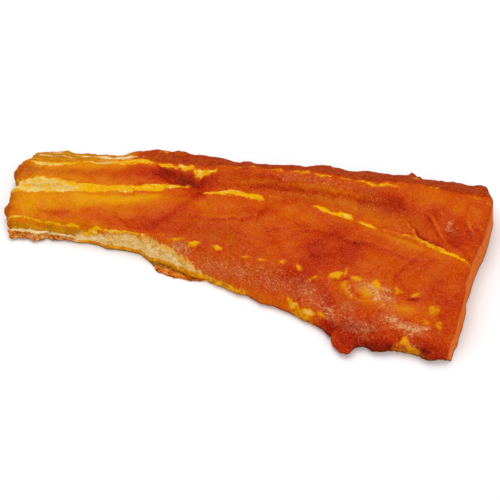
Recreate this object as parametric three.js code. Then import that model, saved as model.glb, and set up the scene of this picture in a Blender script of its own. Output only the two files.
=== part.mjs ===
// The tail-end piece of a side of cold-smoked fish, boned out, lying flesh side up on its skin.
// It narrows from a square knife cut near the middle of the fish to a ragged cut above the tail fin.
// Millimetres, +Z up. +X runs from the tail cut to the wide cut, +Y from the belly edge to the back edge.
// The origin is under the middle of the piece, on the flat of the skin that it rests on.

import * as THREE from "three";
import { mergeGeometries, mergeVertices } from "three/addons/utils/BufferGeometryUtils.js";

// Driving sizes.
const HALF_LENGTH = 140;
const TAIL_ROLL = 8;
const TAIL_EDGE_HEIGHT = 4.5;
const CUT_ROLL = 3.5;
const CUT_ROLL_DROP = 2.2;
const SIDE_ROLL = 3;
const SIDE_ROLL_DROP = 1.6;
const CUT_LEAN = 2.2;
const TAIL_TUCK = 2;
const BELLY_TUCK = 2.6;
const BACK_TUCK = 11;

// The two long edges: y at even steps from the tail cut to the wide cut.
const BELLY_EDGE_Y = [
  -30, -29.5, -25.5, -23, -23.5, -24, -30, -34, -37.5,
  -42.5, -46.5, -51.5, -60.5, -64, -61.5, -62, -59.5,
];
const BACK_EDGE_Y = [
  39.5, 43.5, 45, 46, 52.5, 55.5, 55.5, 55, 56,
  59, 62, 63.5, 65, 66.5, 67, 68, 67.5,
];

// Lines that run the length of the fillet, from the belly edge to the back edge.
// y and z are given at even steps from the tail cut to the wide cut.
const LINES = [
  { name: "belly edge", y: BELLY_EDGE_Y, z: [3.4, 3.6, 4, 4.2, 4.4, 4.8, 5.4, 6.2, 7] },
  {
    name: "belly flap",
    y: [-26, -22, -21.5, -26, -32, -38.5, -48.5, -51.5, -51.5],
    z: [6.8, 7.4, 8.4, 9.6, 9.8, 10.2, 10.8, 11.5, 11.5],
  },
  {
    name: "pin-bone line",
    y: [-22, -19.5, -19, -20.5, -24, -28.5, -30, -33.5, -40.5],
    z: [9.4, 10.8, 12, 13.6, 15, 16, 16.4, 16.4, 15],
  },
  {
    name: "belly loin",
    y: [-11.5, -7.5, -4.5, -0.5, 0.5, -3.5, -9, -15.5, -23.5],
    z: [11.4, 13, 14.4, 16.2, 18, 19.2, 19.6, 19.8, 18.6],
  },
  {
    name: "centre seam",
    y: [2, 7, 13, 22, 24.5, 20.5, 12, 2.5, -7],
    z: [11.6, 13.2, 14, 14, 15.8, 17, 18, 19, 18.4],
  },
  {
    name: "back hollow",
    y: [11.5, 17.5, 23, 27, 30, 29, 25.5, 20.5, 15.5],
    z: [12, 13.2, 14, 14.6, 16.2, 16.4, 16.8, 17.6, 18],
  },
  {
    name: "back fat line",
    y: [25.5, 30.5, 36, 39, 42, 44, 44.5, 47.5, 46.5],
    z: [10, 11.2, 13.4, 15.4, 20.2, 22, 22, 21.6, 19.4],
  },
  { name: "back edge", y: BACK_EDGE_Y, z: [6, 7.6, 10.4, 12, 11.8, 11.8, 12, 12, 11.5] },
];
const BELLY_EDGE = 0;
const CENTRE_SEAM = 4;
const BACK_EDGE = LINES.length - 1;

// The two ends, seen from above: x at even steps from the belly edge to the back edge.
const TAIL_END_X = [-127.5, -128, -130, -134.8, -136.4, -136.8, -139.5, -141, -140.5];
const WIDE_END_X = [129.9, 130.8, 132, 132.8, 132.6, 134, 137.3, 138.8, 134.5];

// Scraps that stand out from the long edges: how far, and over what length each one comes and goes.
const BELLY_SCRAPS = [{ x: 72, reach: 9.5, rise: 5, fall: 13 }];
const BACK_SCRAPS = [
  { x: -64, reach: 1.5, rise: 9, fall: 12 },
  { x: 34, reach: 1.5, rise: 7, fall: 6 },
  { x: 91, reach: 3.3, rise: 4.5, fall: 7 },
];
// The lip of bare skin that shows below the belly edge, at a share of the height of the wall.
const SKIN_LIP = { x: -33, reach: 8, rise: 12, fall: 32, layer: 0.3, spread: 0.35 };

// Relief in the flesh side.
const GOUGE = { x: -41, y: 29.5, along: 17, across: 7, turn: -0.3, depth: 4.2 };
const BACK_RIDGE = { x: 26, y: 37, along: 44, across: 5, turn: 0.03, height: 2.2 };
const SEAM_STEP = { from: 44, to: 68, width: 1.8, rise: 1.1, riseSpread: 7, fall: 1.7, fallSpread: 4 };
const CREASES = [
  { name: "belly flap", x0: 64, y0: -34.5, x1: 70, y1: -56.5, width: 3.4, depth: 1.7 },
  { name: "tail of the far lobe", x0: -20, y0: 24.5, x1: 20, y1: 28, width: 3.2, depth: 1 },
  { name: "dark band", x0: -24, y0: 12.5, x1: -36, y1: -19.5, width: 5, depth: 0.7 },
  { name: "first gape", x0: 86, y0: 32.5, x1: 102, y1: 14.5, width: 2.6, depth: 1.3 },
  { name: "second gape", x0: 108, y0: 30.5, x1: 118, y1: 10.5, width: 2.6, depth: 1 },
];

// Waves that stand for the uneven flesh and the ragged edges: amplitude, wavelength, direction, phase.
const LUMPS = [
  { size: 0.55, length: 47, turn: 0.5, phase: 0.4 },
  { size: 0.5, length: 31, turn: 2.1, phase: 2.3 },
  { size: 0.38, length: 21, turn: 1.2, phase: 4.4 },
  { size: 0.3, length: 15, turn: 2.8, phase: 1.1 },
];
const LUMP_MARGIN = 14;
const RAGS = [
  { size: 0.55, length: 23, phase: 0.7 },
  { size: 0.5, length: 13.7, phase: 2.9 },
  { size: 0.45, length: 8.3, phase: 5.1 },
];
const BACK_RAG = { share: 1, shift: 2 };
const TAIL_RAG = { share: 0.9, shift: 4, along: 90 };
const WIDE_RAG = { share: 0.35, shift: 1, along: 120 };

// Mesh resolution: steps along, steps between neighbouring lines, and the layers of the wall.
const STEPS_ALONG = 100;
const END_CROWDING = 0.35;
const LINE_STEPS = [3, 4, 6, 6, 4, 5, 4];
const WALL_LAYERS = [0, 0.14, 0.38, 0.68, 1];

const lerp = THREE.MathUtils.lerp;
const clamp = THREE.MathUtils.clamp;
const smoothstep = THREE.MathUtils.smoothstep;

// A smooth curve through values at even steps, read at share 0 to 1 of its length.
function curveAt(values, share) {
  const place = share * (values.length - 1);
  const k = clamp(Math.floor(place), 0, values.length - 2);
  const f = place - k;
  const before = values[Math.max(k - 1, 0)];
  const after = values[Math.min(k + 2, values.length - 1)];
  const slope0 = (values[k + 1] - before) / 2;
  const slope1 = (after - values[k]) / 2;
  const rise = values[k + 1] - values[k];
  return values[k] + f * (slope0 + f * (3 * rise - 2 * slope0 - slope1 + f * (slope0 + slope1 - 2 * rise)));
}

// A bell of height 1 at 0.
const bell = (distance) => Math.exp(-distance * distance);

// How far an elongated, turned spot reaches at a point: 1 at its middle.
function spot({ x, y, along, across, turn }, px, py) {
  const a = ((px - x) * Math.cos(turn) + (py - y) * Math.sin(turn)) / along;
  const b = ((py - y) * Math.cos(turn) - (px - x) * Math.sin(turn)) / across;
  return bell(Math.hypot(a, b));
}

// A quarter round: 0 at the edge, 1 from the reach inwards.
function quarterRound(distance, reach) {
  const s = 1 - clamp(distance / reach, 0, 1);
  return Math.sqrt(1 - s * s);
}

const rag = (s, shift) =>
  RAGS.reduce((sum, w) => sum + w.size * Math.sin((2 * Math.PI * s) / w.length + w.phase + shift), 0);

const lumps = (x, y) =>
  LUMPS.reduce((sum, w) => {
    const s = x * Math.cos(w.turn) + y * Math.sin(w.turn);
    return sum + w.size * Math.sin((2 * Math.PI * s) / w.length + w.phase);
  }, 0);

// How far a scrap stands out at x: it comes over its rise and goes over its fall.
function scrapReach({ x: peak, reach, rise, fall }, x) {
  return reach * smoothstep(x, peak - rise, peak) * (1 - smoothstep(x, peak, peak + fall));
}

const scrapsReach = (scraps, x) => scraps.reduce((sum, scrap) => sum + scrapReach(scrap, x), 0);

const shareAlong = (x) => (x + HALF_LENGTH) / (2 * HALF_LENGTH);

// The place of a lengthwise line, with the ragged outline on the first and the last.
function lineY(k, x) {
  const y = curveAt(LINES[k].y, shareAlong(x));
  if (k === BELLY_EDGE) return y - rag(x, 0) - scrapsReach(BELLY_SCRAPS, x);
  if (k === BACK_EDGE) return y + BACK_RAG.share * rag(x, BACK_RAG.shift) + scrapsReach(BACK_SCRAPS, x);
  return y;
}

const lineZ = (k, x) => curveAt(LINES[k].z, shareAlong(x));

// The plan of the fillet: u runs from 0 at the tail cut to 1 at the wide cut,
// and v from 0 at the belly edge to 1 at the back edge.
function endX(u, v) {
  const inside = clamp(v, 0, 1);
  const tail = curveAt(TAIL_END_X, inside) + TAIL_RAG.share * rag(TAIL_RAG.along * v, TAIL_RAG.shift);
  const wide = curveAt(WIDE_END_X, inside) + WIDE_RAG.share * rag(WIDE_RAG.along * v, WIDE_RAG.shift);
  return lerp(tail, wide, u);
}

function planPoint(u, v) {
  const x = endX(u, v);
  const place = v * BACK_EDGE;
  const k = clamp(Math.floor(place), 0, BACK_EDGE - 1);
  return [x, lerp(lineY(k, x), lineY(k + 1, x), place - k)];
}

// The height across the fillet: a curve through the lines that never overshoots them.
function heightAcross(x, y) {
  const ys = LINES.map((_, k) => lineY(k, x));
  const zs = LINES.map((_, k) => lineZ(k, x));
  const secants = zs.slice(1).map((z, k) => (z - zs[k]) / (ys[k + 1] - ys[k]));
  const slopes = zs.map((_, k) => {
    if (k === 0 || k === zs.length - 1) return secants[Math.min(k, secants.length - 1)];
    const [s, t] = [secants[k - 1], secants[k]];
    return s * t > 0 ? (2 * s * t) / (s + t) : 0;
  });
  let k = 0;
  while (k < ys.length - 2 && y > ys[k + 1]) k += 1;
  const step = ys[k + 1] - ys[k];
  const f = clamp((y - ys[k]) / step, 0, 1);
  const rise = zs[k + 1] - zs[k];
  const [m0, m1] = [slopes[k] * step, slopes[k + 1] * step];
  return zs[k] + f * (m0 + f * (3 * rise - 2 * m0 - m1 + f * (m0 + m1 - 2 * rise)));
}

// The belly half stands proud of the back half along the seam, towards the wide cut.
function seamStep(x, y) {
  const off = y - lineY(CENTRE_SEAM, x);
  const here = smoothstep(x, SEAM_STEP.from, SEAM_STEP.to) * Math.min(1, Math.abs(off) / SEAM_STEP.width);
  if (off < 0) return here * SEAM_STEP.rise * bell(off / SEAM_STEP.riseSpread);
  return -here * SEAM_STEP.fall * bell(off / SEAM_STEP.fallSpread);
}

// A crease is a shallow furrow round the straight line between two points.
function creaseDepth({ x0, y0, x1, y1, width, depth }, x, y) {
  const [dx, dy] = [x1 - x0, y1 - y0];
  const f = clamp(((x - x0) * dx + (y - y0) * dy) / (dx * dx + dy * dy), 0, 1);
  return depth * bell(Math.hypot(x - x0 - f * dx, y - y0 - f * dy) / width);
}

function topPoint(u, v) {
  const [x, y] = planPoint(u, v);
  const inside = Math.min(y - lineY(BELLY_EDGE, x), lineY(BACK_EDGE, x) - y);
  let z = heightAcross(x, y) + seamStep(x, y);
  z += BACK_RIDGE.height * spot(BACK_RIDGE, x, y) - GOUGE.depth * spot(GOUGE, x, y);
  z -= CREASES.reduce((sum, crease) => sum + creaseDepth(crease, x, y), 0);
  z += lumps(x, y) * smoothstep(inside, 0, LUMP_MARGIN);
  z -= SIDE_ROLL_DROP * (1 - quarterRound(inside, SIDE_ROLL));
  z -= CUT_ROLL_DROP * (1 - quarterRound(endX(1, v) - x, CUT_ROLL));
  const tailEdge = Math.min(TAIL_EDGE_HEIGHT, z);
  z = tailEdge + (z - tailEdge) * quarterRound(x - endX(0, v), TAIL_ROLL);
  return new THREE.Vector3(x, y, z);
}

// Where the grid lines of the flesh side lie.
const along = Array.from({ length: STEPS_ALONG + 1 }, (_, i) => {
  const s = i / STEPS_ALONG;
  return s - (END_CROWDING * Math.sin(2 * Math.PI * s)) / (2 * Math.PI);
});
const across = [0];
LINE_STEPS.forEach((steps, k) => {
  for (let j = 1; j <= steps; j += 1) across.push((k + j / steps) / LINE_STEPS.length);
});

// The edge of the flesh side, once round, anticlockwise from the belly corner of the tail cut.
const rim = [
  ...along.slice(0, -1).map((u) => ({ u, v: 0 })),
  ...across.slice(0, -1).map((v) => ({ u: 1, v })),
  ...along.slice(1).reverse().map((u) => ({ u, v: 1 })),
  ...across.slice(1).reverse().map((v) => ({ u: 0, v })),
];

// The wall under the edge, from the flat of the skin (layer 0) up to the edge (layer 1).
// The skin turns up in a quarter round under the back, belly and tail,
// and the wide cut leans out towards its foot.
function wallPoint({ u, v }, layer) {
  const top = topPoint(u, v);
  if (layer === 1) return top;
  const turn = (layer * Math.PI) / 2;
  const tuck = 1 - Math.sin(turn);
  const [x] = planPoint(u, v);
  const width = lineY(BACK_EDGE, x) - lineY(BELLY_EDGE, x);
  const length = endX(1, v) - endX(0, v);
  const lip = scrapReach(SKIN_LIP, x) * bell((layer - SKIN_LIP.layer) / SKIN_LIP.spread);
  const shrunkU = lerp((TAIL_TUCK * tuck) / length, 1 + (CUT_LEAN * (1 - layer)) / length, u);
  const shrunkV = lerp((BELLY_TUCK * tuck - lip) / width, 1 - (BACK_TUCK * tuck) / width, v);
  const [px, py] = planPoint(shrunkU, shrunkV);
  const share = u === 1 ? layer : 1 - Math.cos(turn);
  return new THREE.Vector3(px, py, top.z * share);
}

// A plane grid moved to the points that a function gives for its column and row.
function gridGeometry(columns, rows, pointAt) {
  const geometry = new THREE.PlaneGeometry(1, 1, columns, rows);
  const position = geometry.getAttribute("position");
  for (let n = 0; n < position.count; n += 1) {
    const column = n % (columns + 1);
    const row = rows - Math.floor(n / (columns + 1));
    const p = pointAt(column, row);
    position.setXYZ(n, p.x, p.y, p.z);
  }
  return geometry;
}

function filletGeometry() {
  const top = gridGeometry(along.length - 1, across.length - 1, (i, j) => topPoint(along[i], across[j]));
  const wall = gridGeometry(rim.length, WALL_LAYERS.length - 1, (i, j) =>
    wallPoint(rim[i % rim.length], WALL_LAYERS[j]),
  );
  const foot = rim.map((place) => wallPoint(place, 0));
  const sole = new THREE.ShapeGeometry(new THREE.Shape(foot.map((p) => new THREE.Vector2(p.x, p.y))));
  sole.index.array.reverse();
  const parts = [top, wall, sole].map((geometry) => {
    geometry.deleteAttribute("normal");
    geometry.deleteAttribute("uv");
    return geometry;
  });
  const closed = mergeVertices(mergeGeometries(parts), 1e-4);
  closed.computeVertexNormals();
  return closed;
}

const smokedFlesh = new THREE.MeshStandardMaterial({ color: 0xc4530f, roughness: 0.42, metalness: 0 });
const fillet = new THREE.Mesh(filletGeometry(), smokedFlesh);
fillet.name = "fillet";

const piece = new THREE.Group();
piece.add(fillet);

export default piece;
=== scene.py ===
import logging
from dataclasses import dataclass
from enum import Enum
from typing import Any, Sequence

import bpy
import numpy as np
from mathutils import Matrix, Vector


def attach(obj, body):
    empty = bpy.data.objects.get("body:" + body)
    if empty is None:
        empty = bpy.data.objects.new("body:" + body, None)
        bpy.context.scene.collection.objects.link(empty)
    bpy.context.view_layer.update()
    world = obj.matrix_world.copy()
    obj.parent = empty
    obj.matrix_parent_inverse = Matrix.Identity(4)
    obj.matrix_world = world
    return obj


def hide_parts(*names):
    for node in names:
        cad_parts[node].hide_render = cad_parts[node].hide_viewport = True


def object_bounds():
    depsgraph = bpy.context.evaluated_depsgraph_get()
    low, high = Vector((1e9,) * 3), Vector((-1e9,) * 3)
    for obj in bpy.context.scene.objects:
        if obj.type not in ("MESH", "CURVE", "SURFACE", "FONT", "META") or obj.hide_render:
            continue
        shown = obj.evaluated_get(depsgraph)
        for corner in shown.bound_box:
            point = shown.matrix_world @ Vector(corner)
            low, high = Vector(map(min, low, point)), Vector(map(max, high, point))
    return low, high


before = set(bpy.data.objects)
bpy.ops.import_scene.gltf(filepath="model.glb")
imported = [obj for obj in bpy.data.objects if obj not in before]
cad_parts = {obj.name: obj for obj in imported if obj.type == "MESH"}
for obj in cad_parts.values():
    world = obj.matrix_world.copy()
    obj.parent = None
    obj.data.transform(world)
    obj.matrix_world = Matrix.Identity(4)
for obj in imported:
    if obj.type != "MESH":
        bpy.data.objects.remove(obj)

Array = np.ndarray
Number = float | Array
Point = tuple[float, float]

NODE = "fillet"
MM = 0.001
MIDDLE = 0.5
TINY = 1e-9
FAR = 1e3
MIX_INPUTS = (0, 6, 7)
MIX_RESULT = 2
CAD_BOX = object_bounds()
LOG = logging.getLogger("smoked fish")


# Curves and noise


def bell(distance: Number) -> Number:
    """Return a bell: 1 at distance 0, falling to nothing by distance 2."""
    return np.exp(-distance * distance)


def hump(value: Number, middle: float, width: float) -> Number:
    """Return a bell of this width around the middle."""
    return bell((value - middle) / width)


def ease(value: Number, low: float, high: float) -> Number:
    """Return 0 below low, 1 above high and an S curve between them."""
    share = np.clip((value - low) / (high - low), 0.0, 1.0)
    return share * share * (3.0 - 2.0 * share)


def blend(first: Number, second: Number, share: Number) -> Number:
    """Return the value between first and second at the share of the way."""
    return first + (second - first) * share


def inside(signed: Number, soft: float) -> Number:
    """Turn a distance in from an edge into a field: half at the edge, 1 well inside."""
    return np.clip(0.5 + signed / soft, 0.0, 1.0)


def curve_at(values: Sequence[float], share: Array) -> Array:
    """Read a smooth curve through values at even steps.

    Between two values it is the cubic that meets both with the slope of the line
    through their neighbours.

    Args:
        values: The values, at even steps of the share.
        share: Where to read, from 0 at the first value to 1 at the last.

    Returns:
        The curve's values.
    """
    table = np.asarray(values, float)
    place = share * (len(table) - 1)
    step = np.clip(np.floor(place).astype(int), 0, len(table) - 2)
    part = place - step
    before = table[np.maximum(step - 1, 0)]
    here = table[step]
    after = table[step + 1]
    beyond = table[np.minimum(step + 2, len(table) - 1)]
    rise = after - here
    first = (after - before) / 2
    second = (beyond - here) / 2
    return here + part * (first + part * (3 * rise - 2 * first - second + part * (first + second - 2 * rise)))


def quarter_round(distance: Array, reach: float) -> Array:
    """Return the height of a quarter circle: 0 at the edge, 1 from the reach inwards."""
    left = 1.0 - np.clip(distance / reach, 0.0, 1.0)
    return np.sqrt(1.0 - left * left)


def course(points: Sequence[Point], x: Array) -> Array:
    """Return the second value of a broken line at x."""
    return np.interp(x, [p[0] for p in points], [p[1] for p in points])


@dataclass(frozen=True)
class Span:
    """A stretch along the fish, in millimetres, over which something comes or goes."""

    start: float
    end: float

    def rise(self, x: Number) -> Number:
        """Return 0 before the start, 1 after the end and an S curve between."""
        return ease(x, self.start, self.end)

    def fall(self, x: Number) -> Number:
        """Return 1 before the start, 0 after the end and an S curve between."""
        return 1 - self.rise(x)


@dataclass(frozen=True)
class Stretch:
    """A stretch along the fish where something is there in full, with a span at each end."""

    coming: Span
    going: Span

    def at(self, x: Number) -> Number:
        """Return 1 between the two spans and 0 beyond them."""
        return self.coming.rise(x) * self.going.fall(x)


@dataclass(frozen=True)
class Grain:
    """Smooth random values over the plane, read from one seeded table."""

    seed: int
    side: int = 128
    first_turn: float = 0.7
    turn_step: float = 1.1
    shift: Point = (37.0, -19.0)

    def table(self) -> Array:
        """Return the table of random values from -1 to 1."""
        return np.random.default_rng(self.seed).uniform(-1.0, 1.0, (self.side, self.side))

    def at(self, x: Array, y: Array, pitch: float) -> Array:
        """Return values that change over the pitch.

        Each is the mean of the four table values around it, weighted by S curves.

        Args:
            x: First coordinate.
            y: Second coordinate.
            pitch: Distance between table values.

        Returns:
            Values from -1 to 1.
        """
        table = self.table()
        s, t = x / pitch, y / pitch
        i, j = np.floor(s).astype(int), np.floor(t).astype(int)
        fs, ft = ease(s - i, 0.0, 1.0), ease(t - j, 0.0, 1.0)
        i0, i1 = i % self.side, (i + 1) % self.side
        j0, j1 = j % self.side, (j + 1) % self.side
        low = blend(table[i0, j0], table[i1, j0], fs)
        high = blend(table[i0, j1], table[i1, j1], fs)
        return blend(low, high, ft)

    def cloud(self, x: Array, y: Array, pitch: float, octaves: int = 3) -> Array:
        """Sum ever finer and weaker values, each turned against the last."""
        total = np.zeros(np.broadcast(x, y).shape)
        for octave in range(octaves):
            turn = self.first_turn + self.turn_step * octave
            s = x * np.cos(turn) + y * np.sin(turn) + self.shift[0] * octave
            t = y * np.cos(turn) - x * np.sin(turn) + self.shift[1] * octave
            total += self.at(s, t, pitch / 2**octave) / 2**octave
        return total / (2.0 - 0.5 ** (octaves - 1))


@dataclass(frozen=True)
class Cloud:
    """A layer of noise: grain, size, pitch, octaves and where in the table it is read."""

    grain: Grain
    size: float
    pitch: float
    octaves: int = 3
    right: float = 0.0
    up: float = 0.0

    def at(self, x: Array, y: Array) -> Array:
        """Return the noise times its size."""
        return self.size * self.grain.cloud(x + self.right, y + self.up, self.pitch, self.octaves)


# Shapes laid over the fillet, in millimetres


def beside(x: Array, y: Array, first: Point, second: Point) -> tuple[Array, Array, Array]:
    """Find the nearest point of a straight line.

    Args:
        x: First coordinate.
        y: Second coordinate.
        first: The line's start.
        second: The line's end.

    Returns:
        The point's share of the way along the line, and the gaps from it in x and y.
    """
    (x0, y0), (x1, y1) = first, second
    dx, dy = x1 - x0, y1 - y0
    share = np.clip(((x - x0) * dx + (y - y0) * dy) / (dx * dx + dy * dy), 0.0, 1.0)
    return share, x - x0 - share * dx, y - y0 - share * dy


@dataclass(frozen=True)
class Spot:
    """An oval with a soft edge: middle, half axes, turn and amount."""

    x: float
    y: float
    along: float
    across: float
    turn: float = 0.0
    amount: float = 1.0

    def radius(self, x: Array, y: Array) -> Array:
        """Return 0 at the middle and 1 on the oval."""
        a = ((x - self.x) * np.cos(self.turn) + (y - self.y) * np.sin(self.turn)) / self.along
        b = ((y - self.y) * np.cos(self.turn) - (x - self.x) * np.sin(self.turn)) / self.across
        return np.hypot(a, b)

    def glow(self, x: Array, y: Array) -> Array:
        """Return the amount times a bell over the oval."""
        return self.amount * bell(self.radius(x, y))

    def field(self, x: Array, y: Array, soft: float) -> Array:
        """Return the amount times a field that is half on the oval."""
        return self.amount * inside((1.0 - self.radius(x, y)) * min(self.along, self.across), soft)


@dataclass(frozen=True)
class Streak:
    """A broken line with a half width at each of its points."""

    points: tuple[tuple[float, float, float], ...]
    amount: float = 1.0

    def signed(self, x: Array, y: Array) -> Array:
        """Return the distance in from the streak's edge, below 0 outside."""
        best = np.full(np.shape(x), -FAR)
        for (x0, y0, w0), (x1, y1, w1) in zip(self.points, self.points[1:]):
            share, gap_x, gap_y = beside(x, y, (x0, y0), (x1, y1))
            best = np.maximum(best, blend(w0, w1, share) - np.hypot(gap_x, gap_y))
        return best

    def field(self, x: Array, y: Array, soft: float) -> Array:
        """Return the amount times a field that is half on the edge."""
        return self.amount * inside(self.signed(x, y), soft)

    def glow(self, x: Array, y: Array) -> Array:
        """Return the amount times a bell across the streak, one half width wide."""
        width = max(w for _, _, w in self.points)
        return self.amount * bell(np.minimum(self.signed(x, y) - width, 0.0) / width)


@dataclass(frozen=True)
class Wave:
    """A sine: size, length, phase and the turn of its direction."""

    size: float
    length: float
    phase: float
    turn: float = 0.0

    def at(self, x: Number, y: Number, shift: float = 0.0) -> Number:
        """Return the sine of the distance along the turned direction."""
        along = x * np.cos(self.turn) + y * np.sin(self.turn)
        return self.size * np.sin(2 * np.pi * along / self.length + self.phase + shift)


@dataclass(frozen=True)
class Scrap:
    """A scrap that stands out of an edge: peak, reach, and its lengths before and after."""

    x: float
    reach: float
    rise: float
    fall: float

    def at(self, x: Array) -> Array:
        """Return how far the scrap stands out at x."""
        return self.reach * ease(x, self.x - self.rise, self.x) * (1.0 - ease(x, self.x, self.x + self.fall))


@dataclass(frozen=True)
class Scarp:
    """The torn edge of a flake: a broken line with a height at each point, high on its left."""

    points: tuple[tuple[float, float, float], ...]
    reach: float = 5.0
    soft: float = 1.0
    step_range: Point = (-0.7, 0.3)
    ditch: float = 0.22
    ditch_at: Point = (-1.0, 0.9)
    # Painted highlight on the flake's edge and painted shade at its foot, laid into the tone
    painted_highlight: float = 0.38
    painted_highlight_at: Point = (0.7, 0.8)
    painted_shade: float = 0.26
    painted_shade_at: Point = (-0.8, 0.9)

    def parts(self, x: Array, y: Array) -> tuple[Array, Array]:
        """Return the distance from the line, below 0 on its right, and the height beside it."""
        off = np.full(np.shape(x), FAR)
        height = np.zeros(np.shape(x))
        for (x0, y0, h0), (x1, y1, h1) in zip(self.points, self.points[1:]):
            share, gap_x, gap_y = beside(x, y, (x0, y0), (x1, y1))
            away = np.hypot(gap_x, gap_y)
            nearer = away < np.abs(off)
            side = np.where((x1 - x0) * gap_y - (y1 - y0) * gap_x < 0, -1.0, 1.0)
            off = np.where(nearer, side * away, off)
            height = np.where(nearer, blend(h0, h1, share), height)
        return off, height

    def rise(self, x: Array, y: Array) -> Array:
        """Return the relief: a step at the line that falls away over the reach, and a ditch at its foot."""
        off, height = self.parts(x, y)
        off = off / self.soft
        step = ease(off, *self.step_range) * np.exp(-np.maximum(off, 0.0) * self.soft / self.reach)
        return height * (step - self.ditch * hump(off, *self.ditch_at))

    def light(self, x: Array, y: Array) -> Array:
        """Return the painted light: a painted highlight on the edge and painted shade at its foot."""
        off, height = self.parts(x, y)
        off = off / self.soft
        return height * (self.painted_highlight * hump(off, *self.painted_highlight_at) - self.painted_shade * hump(off, *self.painted_shade_at))


def triples(row: Sequence[float]) -> tuple[tuple[float, float, float], ...]:
    """Return a row's numbers three by three, without one or two left over."""
    return tuple(zip(row[0::3], row[1::3], row[2::3]))


def left_over(row: Sequence[float]) -> Sequence[float]:
    """Return what is left of a row after its triples."""
    return row[len(row) // 3 * 3 :]


def spots(*rows: Sequence[float]) -> tuple[Spot, ...]:
    """Return a spot for each row, whose numbers are in the order of the spot's own."""
    return tuple(Spot(*row) for row in rows)


def streaks(*rows: Sequence[float]) -> tuple[Streak, ...]:
    """Return a streak for each row: x, y and half width at each point, then any amount."""
    return tuple(Streak(triples(row), *left_over(row)) for row in rows)


def scarps(*rows: Sequence[float]) -> tuple[Scarp, ...]:
    """Return a scarp for each row: x, y and height at each point, then any reach and softness."""
    return tuple(Scarp(triples(row), *left_over(row)) for row in rows)


def glow_of(shapes: Sequence[Spot | Streak], x: Array, y: Array) -> Array:
    """Return the sum of the shapes' glows."""
    return sum((shape.glow(x, y) for shape in shapes), np.zeros(np.shape(x)))


def field_of(shapes: Sequence[Spot | Streak], x: Array, y: Array, soft: float) -> Array:
    """Return the largest of the shapes' fields."""
    return np.max([shape.field(x, y, soft) for shape in shapes], axis=0)


class Line(Enum):
    """The lines that run from the tail to the wide cut."""

    BELLY_EDGE = 0
    BELLY_FLAP = 1
    CENTRE_SEAM = 4
    BACK_EDGE = 7


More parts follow.
